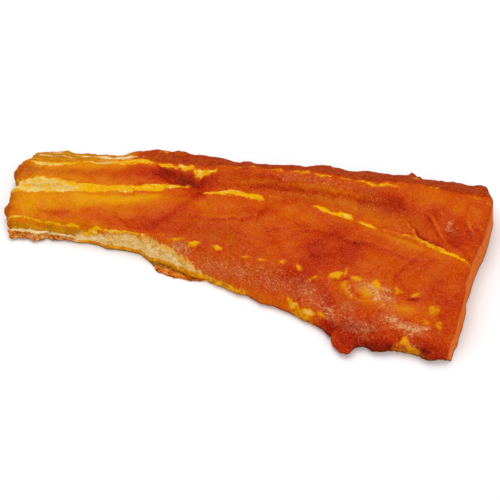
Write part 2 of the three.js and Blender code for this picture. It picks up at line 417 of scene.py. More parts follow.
@dataclass(frozen=True)
class Form:
    """The fillet's form in millimetres, as in the solid that it dresses.

    Eight lines run along the fish, from the belly edge to the back edge. A place is
    u from the tail cut to the wide cut, and v from the belly to the back.
    """

    half_length: float = 140.0
    tail_roll: float = 6.8
    tail_edge_height: float = 4.5
    cut_roll: float = 3.5
    cut_roll_drop: float = 2.2
    side_roll: float = 3.0
    side_roll_drop: float = 1.6
    cut_lean: float = 2.2
    tail_tuck: float = 2.0
    belly_tuck: float = 2.6
    back_tuck: float = 11.0
    lump_margin: float = 14.0
    flap_gap: float = 1.6
    flap_blend: float = 1.4
    least_gap: float = 0.05
    seam_start: Span = Span(44, 68)
    seam_core: float = 1.8
    seam_lip: float = 1.1
    seam_lip_reach: float = 7.0
    seam_fall: float = 1.7
    seam_fall_reach: float = 4.0
    line_y: tuple[tuple[float, ...], ...] = (
        (-30, -29.5, -25.5, -23, -23.5, -24, -30, -34, -37.5, -42.5, -46.5, -51.5, -60.5, -64, -61.5, -62,
         -59.5),
        (-26, -22, -21.5, -26, -32, -38.5, -48.5, -51.5, -51.5),
        (-22, -19.5, -19, -20.5, -24, -28.5, -30, -33.5, -40.5),
        (-11.5, -7.5, -4.5, -0.5, 0.5, -3.5, -9, -15.5, -23.5),
        (2, 7, 13, 22, 24.5, 20.5, 12, 2.5, -7),
        (11.5, 17.5, 23, 27, 30, 29, 25.5, 20.5, 15.5),
        (25.5, 30.5, 36, 39, 42, 44, 44.5, 47.5, 46.5),
        (39.5, 43.5, 45, 46, 52.5, 55.5, 55.5, 55, 56, 59, 62, 63.5, 65, 66.5, 67, 68, 67.5),
    )
    line_z: tuple[tuple[float, ...], ...] = (
        (3.4, 3.6, 4, 4.2, 4.4, 4.8, 5.4, 6.2, 7),
        (6.8, 7.4, 8.4, 9.6, 9.8, 10.2, 10.8, 11.5, 11.5),
        (9.4, 10.8, 12, 13.6, 15, 16, 16.4, 16.4, 15),
        (11.4, 13, 14.4, 16.2, 18, 19.2, 19.6, 19.8, 18.6),
        (11.6, 13.2, 14, 14, 15.8, 17, 18, 19, 18.4),
        (12, 13.2, 14, 14.6, 16.2, 16.4, 16.8, 17.6, 18),
        (10, 11.2, 13.4, 15.4, 20.2, 22, 22, 21.6, 19.4),
        (6, 7.6, 10.4, 12, 11.8, 11.8, 12, 12, 11.5),
    )
    tail_end: tuple[float, ...] = (-127, -127.6, -129.6, -134.2, -135.8, -136.4, -139, -139.6, -135.6)
    wide_end: tuple[float, ...] = (129.9, 130.8, 132, 132.8, 132.6, 134, 137.3, 138.8, 134.5)
    belly_scrap: tuple[Point, ...] = (
        (67.4, 0), (68.0, 3.2), (69.2, 5.4), (71.0, 6.2), (74.0, 8.2), (78.2, 7.2), (81.0, 1.6), (83, 0),
    )
    back_scraps: tuple[Scrap, ...] = (
        Scrap(-64, 1.5, 9, 12), Scrap(39, 1.8, 13, 6), Scrap(41, 0.8, 1.5, 2), Scrap(89, 2.2, 1.2, 6),
        Scrap(94.5, 1.3, 1.4, 2),
    )
    skin_lip: Scrap = Scrap(-37, 5.8, 11, 36)
    lip_layer: float = 0.3
    lip_spread: float = 0.35
    lip_foot: int = 8
    mounds: tuple[Spot, ...] = spots(
        (-41, 29.5, 17, 7, -0.3, -4.2), (26, 37, 44, 5, 0.03, 2.2),
    )
    creases: tuple[Streak, ...] = streaks(
        (64, -34.5, 3.4, 70, -56.5, 3.4, -1.7), (-20, 24.5, 3.2, 20, 28, 3.2, -1),
        (-24, 12.5, 5, -36, -19.5, 5, -0.7), (86, 32.5, 2.6, 102, 14.5, 2.6, -1.3),
        (108, 30.5, 2.6, 118, 10.5, 2.6, -1),
    )
    lumps: tuple[Wave, ...] = (
        Wave(0.55, 47, 0.4, 0.5),
        Wave(0.5, 31, 2.3, 2.1),
        Wave(0.38, 21, 4.4, 1.2),
        Wave(0.3, 15, 1.1, 2.8),
    )
    rags: tuple[Wave, ...] = (Wave(0.55, 23, 0.7), Wave(0.4, 13.7, 2.9))
    shreds: Cloud = Cloud(Grain(3), 0.6, 3.4, 2)
    shred_step: float = 17.0
    belly_shift: float = 0.0
    back_shift: float = 2.0
    tail_shift: float = 4.0
    wide_shift: float = 1.0
    tail_rag: float = 0.6
    wide_rag: float = 0.35
    tail_width: float = 90.0
    wide_width: float = 120.0
    crumbs: Cloud = Cloud(Grain(3), 3.0, 2.4, right=31)
    belly_tears: Cloud = Cloud(Grain(3), 1.0, 2.4, right=300)
    belly_tail: Span = Span(-96, -80)
    belly_tail_tears: float = 1.5
    belly_wide: Span = Span(58, 70)
    back_tears: Cloud = Cloud(Grain(3), 1.0, 2.4, right=500)
    back_tail: Span = Span(-100, -84)
    back_wide: Span = Span(80, 100)

    def rag(self, along: Array, shift: float) -> Array:
        """Return the waves of a ragged edge and its finer shreds, summed."""
        fine = self.shreds.at(along, 0 * along + self.shred_step * shift)
        return sum(wave.at(along, 0.0, shift) for wave in self.rags) + fine

    def share(self, x: Array) -> Array:
        """Return the share of the half lengths at x, from 0 to 1."""
        return (x + self.half_length) / (2 * self.half_length)

    def y_of(self, line: int, x: Array) -> Array:
        """Return a line's y at x; the two edges are ragged and carry scraps."""
        y = curve_at(self.line_y[line], self.share(x))
        if line == Line.BELLY_EDGE.value:
            here = self.belly_wide.rise(x) + self.belly_tail_tears * self.belly_tail.fall(x)
            torn = here * self.belly_tears.at(x, 0 * x)
            return y - torn - self.rag(x, self.belly_shift) - course(self.belly_scrap, x)
        if line == Line.BACK_EDGE.value:
            here = self.back_wide.rise(x) + self.back_tail.fall(x)
            torn = here * self.back_tears.at(x, 0 * x)
            return y + torn + self.rag(x, self.back_shift) + sum(scrap.at(x) for scrap in self.back_scraps)
        if line == Line.BELLY_FLAP.value:
            edge = self.y_of(Line.BELLY_EDGE.value, x) + self.flap_gap
            return 0.5 * (y + edge + np.hypot(y - edge, self.flap_blend))
        return y

    def end_x(self, u: Array, v: Array) -> Array:
        """Return x between the two ragged cuts."""
        within = np.clip(v, 0, 1)
        across = self.tail_width * v
        rag = self.tail_rag * self.rag(across, self.tail_shift)
        tail = curve_at(self.tail_end, within) + rag + self.crumbs.at(across, 0 * v)
        rag = self.wide_rag * self.rag(self.wide_width * v, self.wide_shift)
        wide = curve_at(self.wide_end, within) + rag
        return blend(tail, wide, u)

    def plan(self, u: Array, v: Array) -> tuple[Array, Array]:
        """Return the plan point: x between the cuts, y between the lines on either side of v."""
        x = self.end_x(u, v)
        last = Line.BACK_EDGE.value
        place = v * last
        line = np.clip(np.floor(place).astype(int), 0, last - 1)
        rows = np.stack([self.y_of(i, x) for i in range(last + 1)])
        low = np.take_along_axis(rows, line[None], 0)[0]
        high = np.take_along_axis(rows, line[None] + 1, 0)[0]
        return x, blend(low, high, place - line)

    def height_across(self, x: Array, y: Array) -> Array:
        """Return the height of the smooth curve across the lines.

        It is a cubic between two lines, whose slope at a line is the harmonic mean of
        the slopes on either side, or flat at a crest or a hollow.
        """
        count = len(self.line_y)
        ys = np.stack([self.y_of(i, x) for i in range(count)])
        zs = np.stack([curve_at(row, self.share(x)) for row in self.line_z])
        secants = (zs[1:] - zs[:-1]) / np.maximum(ys[1:] - ys[:-1], self.least_gap)
        product = secants[:-1] * secants[1:]
        total = secants[:-1] + secants[1:]
        inner = np.where(product > 0, 2 * product / np.where(total == 0, 1.0, total), 0.0)
        slopes = np.concatenate([secants[:1], inner, secants[-1:]])
        line = np.clip((y[None] > ys).sum(0) - 1, 0, count - 2)
        y0, y1 = (np.take_along_axis(ys, line[None] + k, 0)[0] for k in (0, 1))
        z0, z1 = (np.take_along_axis(zs, line[None] + k, 0)[0] for k in (0, 1))
        step = np.maximum(y1 - y0, self.least_gap)
        m0, m1 = (np.take_along_axis(slopes, line[None] + k, 0)[0] * step for k in (0, 1))
        rise = z1 - z0
        part = np.clip((y - y0) / step, 0, 1)
        return z0 + part * (m0 + part * (3 * rise - 2 * m0 - m1 + part * (m0 + m1 - 2 * rise)))

    def seam_step(self, x: Array, y: Array) -> Array:
        """Return the step at the centre seam: a lip on the belly side, a fall on the back side."""
        off = y - self.y_of(Line.CENTRE_SEAM.value, x)
        here = self.seam_start.rise(x) * np.minimum(1, np.abs(off) / self.seam_core)
        lip = self.seam_lip * bell(off / self.seam_lip_reach)
        return here * np.where(off < 0, lip, -self.seam_fall * bell(off / self.seam_fall_reach))

    def top(self, u: Array, v: Array) -> tuple[Array, Array, Array]:
        """Return the points of the flesh side."""
        x, y = self.plan(u, v)
        edge = np.minimum(y - self.y_of(Line.BELLY_EDGE.value, x), self.y_of(Line.BACK_EDGE.value, x) - y)
        z = self.height_across(x, y) + self.seam_step(x, y)
        z = z + glow_of(self.mounds, x, y)
        z = z + sum(crease.glow(x, y) for crease in self.creases)
        z = z + sum(wave.at(x, y) for wave in self.lumps) * ease(edge, 0, self.lump_margin)
        z = z - self.side_roll_drop * (1 - quarter_round(edge, self.side_roll))
        ones = np.ones_like(v)
        z = z - self.cut_roll_drop * (1 - quarter_round(self.end_x(ones, v) - x, self.cut_roll))
        low = np.minimum(self.tail_edge_height, z)
        z = low + (z - low) * quarter_round(x - self.end_x(0 * ones, v), self.tail_roll)
        return x, y, z

    def wall(self, u: Array, v: Array, layer: Array, lip: float = 1.0) -> tuple[Array, Array, Array]:
        """Return points of the walls under the rim.

        From the rim down, a wall is a quarter circle that tucks in under each side, and
        the cut leans out. The lip is the flap of skin at the belly.

        Args:
            u: Share from the tail cut to the wide cut.
            v: Share from the belly to the back.
            layer: 0 on the sole, 1 on the rim.
            lip: The share of the skin's lip that is there.

        Returns:
            x, y and z in millimetres.
        """
        turn = layer * np.pi / 2
        tuck = 1 - np.sin(turn)
        rim_x, _, rim_z = self.top(u, v)
        width = self.y_of(Line.BACK_EDGE.value, rim_x) - self.y_of(Line.BELLY_EDGE.value, rim_x)
        length = self.end_x(np.ones_like(v), v) - self.end_x(np.zeros_like(v), v)
        stand = lip * self.skin_lip.at(rim_x) * bell((layer - self.lip_layer) / self.lip_spread)
        near_u = blend(self.tail_tuck * tuck / length, 1 + self.cut_lean * (1 - layer) / length, u)
        near_v = blend(self.belly_tuck * tuck / width, 1 - self.back_tuck * tuck / width, v)
        x, y = self.plan(near_u, near_v)
        y = y - stand * (1 - v) ** self.lip_foot
        share = np.where(u == 1, layer, 1 - np.cos(turn))
        return x, y, rim_z * share


# Meshes


def make_object(name: str, vertices: Array, faces: Sequence[Array]) -> bpy.types.Object:
    """Put vertices and smooth faces into a new object at the origin.

    Args:
        name: The object's name.
        vertices: Points in metres, one a row.
        faces: Arrays of vertex numbers, one face a row, each array of one face size.

    Returns:
        The object, linked to the scene.
    """
    mesh = bpy.data.meshes.new(name)
    mesh.vertices.add(len(vertices))
    mesh.vertices.foreach_set("co", np.ascontiguousarray(vertices, np.float32).ravel())
    corners = np.concatenate([f.ravel() for f in faces]).astype(np.int32)
    totals = np.concatenate([np.full(len(f), f.shape[1]) for f in faces]).astype(np.int32)
    mesh.loops.add(len(corners))
    mesh.loops.foreach_set("vertex_index", corners)
    mesh.polygons.add(len(totals))
    mesh.polygons.foreach_set("loop_start", (np.cumsum(totals) - totals).astype(np.int32))
    mesh.polygons.foreach_set("loop_total", totals)
    mesh.polygons.foreach_set("use_smooth", np.ones(len(totals), bool))
    mesh.update(calc_edges=True)
    mesh.validate()
    made = bpy.data.objects.new(name, mesh)
    bpy.context.scene.collection.objects.link(made)
    return made


def store(made: bpy.types.Object, fields: dict[str, Array]) -> None:
    """Write each field of values to the mesh as a point attribute of its name."""
    for name, values in fields.items():
        attribute = made.data.attributes.new(name, "FLOAT", "POINT")
        attribute.data.foreach_set("value", np.ascontiguousarray(values, np.float32).ravel())


def keep_in_box(points: Array) -> Array:
    """Return the points with any that leave the solid's box brought back to its sides."""
    low, high = (np.asarray(corner) for corner in CAD_BOX)
    return np.clip(points, low, high)


def grid_quads(numbers: Array) -> Array:
    """Return the quads of a grid of vertex numbers, facing up where rows run +X and columns +Y."""
    corners = (numbers[:-1, :-1], numbers[1:, :-1], numbers[1:, 1:], numbers[:-1, 1:])
    return np.stack([c.ravel() for c in corners], axis=1)


# Shader nodes


def tint(red: float, green: float, blue: float) -> tuple[float, float, float, float]:
    """Turn a colour as seen on a screen, 0 to 255, into light by the usual screen curve."""
    seen = np.array([red, green, blue]) / 255.0
    light = np.where(seen <= 0.04045, seen / 12.92, ((seen + 0.055) / 1.055) ** 2.4)
    return (*(float(c) for c in light), 1.0)


@dataclass(frozen=True)
class Noise:
    """A noise pattern.

    Its size is in millimetres. Detail is how many finer sizes are added, and rough how
    strong each is. Stretch is along each axis, and the turn about Z is in radians.
    """

    size: float
    detail: float = 2.0
    rough: float = 0.5
    stretch: tuple[float, float, float] = (1, 1, 1)
    turn: float = 0.0


@dataclass(frozen=True)
class Fray:
    """The frayed edge of a mask: the patterns' swings, then the ends of its S curve."""

    small: float
    fine: float
    low: float
    high: float


@dataclass
class Value:
    """One output socket; arithmetic on it adds Math nodes."""

    shader: "Shader"
    socket: bpy.types.NodeSocket

    def maths(self, operation: str, *others: Any) -> "Value":
        """Return the result of a Math node on this value and others."""
        return self.shader.node("ShaderNodeMath", {"operation": operation}, (self, *others))

    def __add__(self, other: Any) -> "Value":
        """Return the sum."""
        return self.maths("ADD", other)

    def __mul__(self, other: Any) -> "Value":
        """Return the product."""
        return self.maths("MULTIPLY", other)

    def __sub__(self, other: Any) -> "Value":
        """Return the difference."""
        return self.maths("SUBTRACT", other)

    def __rsub__(self, other: Any) -> "Value":
        """Return the other less this."""
        return self.shader.node("ShaderNodeMath", {"operation": "SUBTRACT"}, (other, self))

    __radd__ = __add__
    __rmul__ = __mul__

    def ease(self, low: float, high: float) -> "Value":
        """Return 0 below low, 1 above high and an S curve between."""
        settings = {"interpolation_type": "SMOOTHSTEP", "clamp": True}
        return self.shader.node("ShaderNodeMapRange", settings, (self, low, high, 0.0, 1.0))


class Shader:
    """A node tree under construction, with its Principled shader."""

    def __init__(self, name: str) -> None:
        """Start a material of this name with its Principled shader alone."""
        self.material = bpy.data.materials.new(name)
        self.material.use_nodes = True
        self.tree = self.material.node_tree
        self.tree.nodes.clear()
        self.surface = self.tree.nodes.new("ShaderNodeBsdfPrincipled")
        output = self.tree.nodes.new("ShaderNodeOutputMaterial")
        self.tree.links.new(self.surface.outputs[0], output.inputs["Surface"])
        self.place = self.node("ShaderNodeTexCoord", output="Object")

    def fill(self, socket: bpy.types.NodeSocket, value: Any) -> None:
        """Link a value to a socket, or set the socket to a plain number or colour."""
        if isinstance(value, Value):
            self.tree.links.new(value.socket, socket)
        else:
            socket.default_value = value

    def node(
        self,
        kind: str,
        settings: dict[str, Any] | None = None,
        sockets: Sequence[Any] | dict[str, Any] = (),
        output: str | int = 0,
    ) -> Value:
        """Add a node.

        Args:
            kind: The node's type.
            settings: Its own settings, which are set first; stops is a ramp's list.
            sockets: Values or links of its inputs, in order or by name.
            output: The output to return.

        Returns:
            The node's output.
        """
        made = self.tree.nodes.new(kind)
        for name, value in (settings or {}).items():
            if name == "stops":
                self.set_stops(made.color_ramp, value)
            else:
                setattr(made, name, value)
        pairs = sockets.items() if isinstance(sockets, dict) else enumerate(sockets)
        for key, value in pairs:
            self.fill(made.inputs[key], value)
        return Value(self, made.outputs[output])

    @staticmethod
    def set_stops(ramp: bpy.types.ColorRamp, stops: Sequence[tuple[float, tuple]]) -> None:
        """Set a ramp's places and colours."""
        while len(ramp.elements) < len(stops):
            ramp.elements.new(1.0)
        for element, (place, colour) in zip(ramp.elements, stops):
            element.position = place
            element.color = colour

    def field(self, name: str) -> Value:
        """Return the value of the mesh's attribute of this name."""
        return self.node("ShaderNodeAttribute", {"attribute_name": name}, output="Fac")

    def noise(self, pattern: Noise) -> Value:
        """Return the noise of a pattern, from 0 to 1 around a half."""
        sockets = {"Vector": self.place, "Scale": pattern.stretch, "Rotation": (0.0, 0.0, pattern.turn)}
        place = self.node("ShaderNodeMapping", {"vector_type": "TEXTURE"}, sockets)
        sockets = {"Vector": place, "Scale": 1 / (pattern.size * MM)}
        sockets.update({"Detail": pattern.detail, "Roughness": pattern.rough})
        return self.node("ShaderNodeTexNoise", None, sockets)

    def cells(self, size: float, stretch: Sequence[float]) -> Value:
        """Return the distance in a pattern of cells of this size in millimetres."""
        sockets = {"Vector": self.place, "Scale": tuple(1 / s for s in stretch)}
        place = self.node("ShaderNodeMapping", None, sockets)
        return self.node("ShaderNodeTexVoronoi", None, {"Vector": place, "Scale": 1 / (size * MM)})

    def mix(self, share: Any, first: Any, second: Any) -> Value:
        """Return the colour between first and second."""
        made = self.tree.nodes.new("ShaderNodeMix")
        made.data_type = "RGBA"
        for place, value in zip(MIX_INPUTS, (share, first, second)):
            self.fill(made.inputs[place], value)
        return Value(self, made.outputs[MIX_RESULT])

    def ramp(self, value: Value, stops: Sequence[tuple[float, tuple]]) -> Value:
        """Return the colour of a ramp at the value."""
        return self.node("ShaderNodeValToRGB", {"stops": stops}, (value,))

    def bump(self, height: Value, depth: float) -> None:
        """Raise the surface by the height times the depth in millimetres, in shading alone."""
        made = self.node("ShaderNodeBump", None, {"Strength": 1.0, "Distance": depth * MM, "Height": height})
        self.fill(self.surface.inputs["Normal"], made)

    def set(self, **sockets: Any) -> None:
        """Set the Principled shader's sockets, named with underscores for spaces."""
        for name, value in sockets.items():
            self.fill(self.surface.inputs[name.replace("_", " ")], value)


@dataclass
class Mottle:
    """The small and the fine pattern that the layers of a finish share."""

    small: Value
    fine: Value

    def swing(self, value: Value, small: float, fine: float) -> Value:
        """Return the value with the patterns' swings about their middle added."""
        for pattern, share in ((self.small, small), (self.fine, fine)):
            if share:
                value = value + (pattern - MIDDLE) * share
        return value

    def mask(self, value: Value, fray: Fray) -> Value:
        """Return the value as a mask with a frayed edge."""
        return self.swing(value, fray.small, fray.fine).ease(fray.low, fray.high)


@dataclass(frozen=True)
class FleshFinish:
    """Oily smoked flesh with fat: colours as seen, from the darkest flesh to gold."""

    maroon: tuple = tint(122, 12, 4)
    deep_red: tuple = tint(164, 26, 4)
    red: tuple = tint(192, 50, 4)
    red_orange: tuple = tint(206, 76, 4)
    orange: tuple = tint(214, 100, 2)
    amber: tuple = tint(222, 126, 0)
    gold: tuple = tint(232, 156, 0)
    bark: tuple = tint(146, 42, 14)
    brown: tuple = tint(174, 72, 16)
    # Painted glint: pale specks standing in for tiny highlights on the moist flesh
    painted_glint: tuple = tint(228, 132, 40)
    # Painted sparkle: tiny highlights on the whitish film
    sparkle: tuple = tint(250, 210, 150)
    shade: tuple = tint(108, 38, 6)
    # Whitish film, also used for the painted sheen on the lobes
    haze_and_sheen: tuple = tint(196, 108, 62)
    fibre: tuple = tint(236, 182, 120)
    olive: tuple = tint(212, 140, 4)
    moss: tuple = tint(190, 116, 6)
    crust_dark: tuple = tint(152, 66, 14)
    crust_warm: tuple = tint(216, 122, 26)
    crust_pale: tuple = tint(226, 178, 118)
    tan_warm: tuple = tint(222, 170, 82)
    tan: tuple = tint(236, 198, 122)
    # Pale tan, also the painted highlight along the strip's lower part
    tan_pale_and_highlight: tuple = tint(248, 226, 176)
    wrinkle: tuple = tint(196, 124, 34)
    ochre: tuple = tint(236, 164, 14)
    ochre_dark: tuple = tint(206, 118, 12)
    fat_glow: tuple = tint(222, 118, 2)
    fat_rim: tuple = tint(226, 140, 2)
    yellow: tuple = tint(238, 176, 2)
    # Cream fat, also the painted highlight on the thin belly fat line near the tail
    cream_and_highlight: tuple = tint(238, 206, 118)
    soil: tuple = tint(206, 148, 66)
    cut_dark: tuple = tint(208, 86, 18)
    cut: tuple = tint(228, 116, 38)
    cut_pale: tuple = tint(238, 154, 88)
    # Patterns
    small: Noise = Noise(2.6, 3.0, 0.6)
    fine: Noise = Noise(1.1, 2.0, 0.6)
    grit: Noise = Noise(0.75, 1.0, 0.5)
    broad: Noise = Noise(9.0, 3.0, 0.55)
    haze_cloud: Noise = Noise(6.0, 3.0, 0.6)
    fibres_left: Noise = Noise(0.75, 1.0, 0.5, (4.0, 1.0, 1.0), 0.5)
    fibres_right: Noise = Noise(0.75, 1.0, 0.5, (4.0, 1.0, 1.0), -0.7)
    band_streak: Noise = Noise(1.6, 2.0, 0.6, (5.0, 1.0, 1.0))
    worm: Noise = Noise(3.4, 1.0, 0.4, (1.4, 0.9, 1.0))
    worm_patch: Noise = Noise(3.6, 1.0)
    smear: Noise = Noise(2.6, 3.0, 0.6, (2.6, 1.0, 1.0))
    vein: Noise = Noise(1.5, 2.0, 0.65, (2.0, 1.0, 1.0))
    glitter: Noise = Noise(0.7, 1.0, 0.6, (1.2, 0.8, 1.0), 1.1)
    knife: Noise = Noise(0.9, 2.0, 0.6, (1.0, 12.0, 1.0))
    # Places on the ramps, swings of the patterns, ends of the masks and shares
    tone_places: tuple[float, ...] = (0.0, 0.2, 0.38, 0.52, 0.66, 0.8, 1.0)
    tone_broad: float = 0.14
    tone_small: float = 0.16
    tone_fine: float = 0.26
    bark_fray: Fray = Fray(0, 0.8, 0.35, 0.65)
    haze_swing: float = 1.3
    haze_fray: Fray = Fray(0.7, 0.5, 0.2, 1.15)
    haze_share: float = 0.6
    fibre_range: Point = (0.58, 0.72)
    fibre_fray: Fray = Fray(1, 0, 0.2, 0.9)
    fibre_share: float = 0.55
    web_range: Point = (0.42, 0.68)
    web_middle: float = 0.6
    web_swing: float = 0.5
    wisp_gain: float = 1.1
    wisp_fray: Fray = Fray(0.6, 0, 0.3, 0.95)
    wisp_share: float = 0.62
    moss_range: Point = (0.4, 0.62)
    olive_fray: Fray = Fray(0.3, 0, 0.25, 0.75)
    crust_places: tuple[float, ...] = (0.36, 0.46, 0.54, 0.63)
    crust_swing: float = 0.7
    crust_fray: Fray = Fray(0.4, 0, 0.4, 0.6)
    strip_places: tuple[float, ...] = (0.3, 0.5, 0.72)
    strip_fine: float = 0.4
    strip_streak: float = 0.8
    wrinkle_share: float = 0.4
    worm_range: Point = (0.014, 0.08)
    worm_patches: Point = (0.5, 0.6)
    worm_share: float = 0.85
    rim_fray: Fray = Fray(0, 0.6, 0.4, 0.56)
    ochre_fray: Fray = Fray(0.9, 0.6, 0.2, 0.75)
    tan_fray: Fray = Fray(0.35, 0.5, 0.3, 0.68)
    fat_small: float = 0.7
    fat_fine: float = 0.3
    cream_swing: float = 1.6
    cream_fray: Fray = Fray(0, 0.4, 0.3, 0.62)
    dot_share: float = 0.9
    dot_range: Point = (0.6, 0.95)
    dot_core: float = 0.6
    vein_range: Point = (0.53, 0.66)
    vein_calm: float = 0.8
    vein_share: float = 0.8
    soil_swing: float = 2.0
    soil_range: Point = (0.2, 0.9)
    soil_share: float = 0.8
    glow_range: Point = (0.1, 0.46)
    glow_share: float = 0.4
    rim_range: Point = (0.34, 0.5)
    rim_share: float = 0.85
    core_range: Point = (0.48, 0.62)
    pit_range: Point = (0.3, 0.48)
    pit_share: float = 0.2
    painted_glint_range: Point = (0.54, 0.7)
    painted_glint_gain: float = 0.4
    painted_glint_least: float = 0.1
    spark_range: Point = (0.66, 0.78)
    spark_gain: float = 0.5
    spark_least: float = 0.2
    knife_dark: Point = (0.3, 0.5)
    knife_pale: Point = (0.5, 0.72)
    cut_share: float = 0.75
    roughness: float = 0.48
    rough_swing: float = 0.25
    coat: float = 0.05
    coat_roughness: float = 0.3
    bump_depth: float = 0.9
    bump_fine: float = 0.7
    bump_grit: float = 0.6
    bump_small: float = 0.8
    bump_calm: float = 0.65

    def flesh(self, s: Shader, mottle: Mottle) -> Value:
        """Return the flesh by its tone and brownness, mottled at three sizes."""
        broad = (s.noise(self.broad) - MIDDLE) * self.tone_broad
        tone = mottle.swing(s.field("tone") + broad, self.tone_small, self.tone_fine)
        reds = (self.maroon, self.deep_red, self.red, self.red_orange)
        colours = (*reds, self.orange, self.amber, self.gold)
        colour = s.ramp(tone, tuple(zip(self.tone_places, colours)))
        bark = s.mix(mottle.mask(mottle.small, self.bark_fray), self.bark, self.brown)
        return s.mix(s.field("brown"), colour, bark)

    def haze_and_sheen_over(self, s: Shader, colour: Value, mottle: Mottle) -> Value:
        """Lay the whitish film and its short fibres over the colour, and painted sheen on the tops of the
        back lobes.
        """
        frost_and_sheen = s.field("frost_and_sheen")
        cloud = (s.noise(self.haze_cloud) - MIDDLE) * self.haze_swing
        haze_and_sheen = mottle.mask(frost_and_sheen + cloud, self.haze_fray)
        colour = s.mix(haze_and_sheen * self.haze_share, colour, self.haze_and_sheen)
        strands = s.noise(self.fibres_left).maths("MAXIMUM", s.noise(self.fibres_right))
        fibres = strands.ease(*self.fibre_range) * mottle.mask(frost_and_sheen, self.fibre_fray)
        colour = s.mix(fibres * self.fibre_share, colour, self.fibre)
        web = (strands.ease(*self.web_range) - self.web_middle) * self.web_swing
        wisp = mottle.mask(s.field("wisp") * self.wisp_gain + web, self.wisp_fray)
        return s.mix(wisp * self.wisp_share, colour, self.fibre)

    def edges_over(self, s: Shader, colour: Value, mottle: Mottle) -> Value:
        """Lay the olive bands, the crust and the pale belly strip over the colour."""
        streak = s.noise(self.band_streak)
        band = s.mix(streak.ease(*self.moss_range), self.moss, self.olive)
        colour = s.mix(mottle.mask(s.field("olive"), self.olive_fray), colour, band)
        browns = (self.crust_dark, self.crust_warm, self.crust_warm, self.crust_pale)
        crumbs = mottle.swing(mottle.small, 0, self.crust_swing)
        crust = s.ramp(crumbs, tuple(zip(self.crust_places, browns)))
        colour = s.mix(mottle.mask(s.field("crust"), self.crust_fray), colour, crust)
        strip = self.strip(s, mottle, streak)
        return s.mix(mottle.mask(s.field("tan"), self.tan_fray), colour, strip)

    def strip(self, s: Shader, mottle: Mottle, streak: Value) -> Value:
        """Return the pale belly strip with its wrinkles, curls and ochre rim, and a painted highlight along
        its lower part.
        """
        grain = mottle.swing(mottle.small, 0, self.strip_fine) + (streak - MIDDLE) * self.strip_streak
        pale = s.ramp(grain, tuple(zip(self.strip_places, (self.tan_warm, self.tan, self.tan_pale_and_highlight))))
        wrinkle = s.field("wrinkle")
        pale = s.mix(wrinkle * self.wrinkle_share, pale, self.tan_warm)
        # Painted highlight: the strip is paler away from the wrinkles, along its lower part
        pale = s.mix((1 - wrinkle) * self.wrinkle_share, pale, self.tan_pale_and_highlight)
        line = (s.noise(self.worm) - MIDDLE).maths("ABSOLUTE").ease(*self.worm_range)
        worms = (1 - line) * s.noise(self.worm_patch).ease(*self.worm_patches)
        pale = s.mix(worms * wrinkle * self.worm_share, pale, self.wrinkle)
        rim = s.mix(mottle.mask(mottle.small, self.rim_fray), self.ochre_dark, self.ochre)
        return s.mix(mottle.mask(s.field("ochre"), self.ochre_fray), pale, rim)

    def fat_over(self, s: Shader, colour: Value, mottle: Mottle) -> Value:
        """Lay the fat over the colour: a glow around it, its rim, and yellow or cream within."""
        fat = mottle.swing(s.field("fat"), self.fat_small, self.fat_fine)
        smear = s.noise(self.smear) - MIDDLE
        cream_and_highlight = mottle.mask(s.field("cream_and_highlight") + smear * self.cream_swing, self.cream_fray)
        core = s.mix(cream_and_highlight, self.yellow, self.cream_and_highlight)
        ring = self.dot_share - fat.ease(*self.dot_range) * self.dot_core
        core = s.mix(s.field("dot") * ring, core, self.fat_rim)
        veins = s.noise(self.vein).ease(*self.vein_range)
        core = s.mix(veins * (1 - cream_and_highlight * self.vein_calm) * self.vein_share, core, self.fat_rim)
        soil = (MIDDLE + smear * self.soil_swing).ease(*self.soil_range)
        core = s.mix(s.field("soil") * soil * self.soil_share, core, self.soil)
        colour = s.mix(fat.ease(*self.glow_range) * self.glow_share, colour, self.fat_glow)
        colour = s.mix(fat.ease(*self.rim_range) * self.rim_share, colour, self.fat_rim)
        return s.mix(fat.ease(*self.core_range), colour, core)

    def grit_over(self, s: Shader, colour: Value, grit: Value) -> Value:
        """Lay dark pits, painted glints and painted sparkle on the whitish film over the colour."""
        colour = s.mix((1 - grit.ease(*self.pit_range)) * self.pit_share, colour, self.shade)
        painted_glints = s.field("tone") * self.painted_glint_gain + self.painted_glint_least
        colour = s.mix(grit.ease(*self.painted_glint_range) * painted_glints, colour, self.painted_glint)
        sparks = s.field("frost_and_sheen") * self.spark_gain + self.spark_least
        return s.mix(s.noise(self.glitter).ease(*self.spark_range) * sparks, colour, self.sparkle)

    def cut_over(self, s: Shader, colour: Value) -> Value:
        """Lay the knife-cut face with its streaks over the colour."""
        marks = s.noise(self.knife)
        pale = s.mix(marks.ease(*self.knife_pale), self.cut, self.cut_pale)
        face = s.mix(marks.ease(*self.knife_dark), self.cut_dark, pale)
        return s.mix(s.field("cut") * self.cut_share, colour, face)

    def build(self) -> bpy.types.Material:
        """Return the material."""
        s = Shader("smoked flesh")
        mottle = Mottle(s.noise(self.small), s.noise(self.fine))
        grit = s.noise(self.grit)
        colour = self.flesh(s, mottle)
        colour = self.haze_and_sheen_over(s, colour, mottle)
        colour = self.edges_over(s, colour, mottle)
        colour = self.grit_over(s, colour, grit)
        colour = self.fat_over(s, colour, mottle)
        colour = s.mix(s.field("shade"), colour, self.shade)
        colour = self.cut_over(s, colour)
        rough = self.roughness + (mottle.fine - MIDDLE) * self.rough_swing
        s.set(Base_Color=colour, Roughness=rough, Specular_IOR_Level=0.0)
        s.set(Coat_Weight=self.coat, Coat_Roughness=self.coat_roughness)
        relief = mottle.fine * self.bump_fine + grit * self.bump_grit + mottle.small * self.bump_small
        s.bump(relief * (1 - s.field("tan") * self.bump_calm), self.bump_depth)
        return s.material


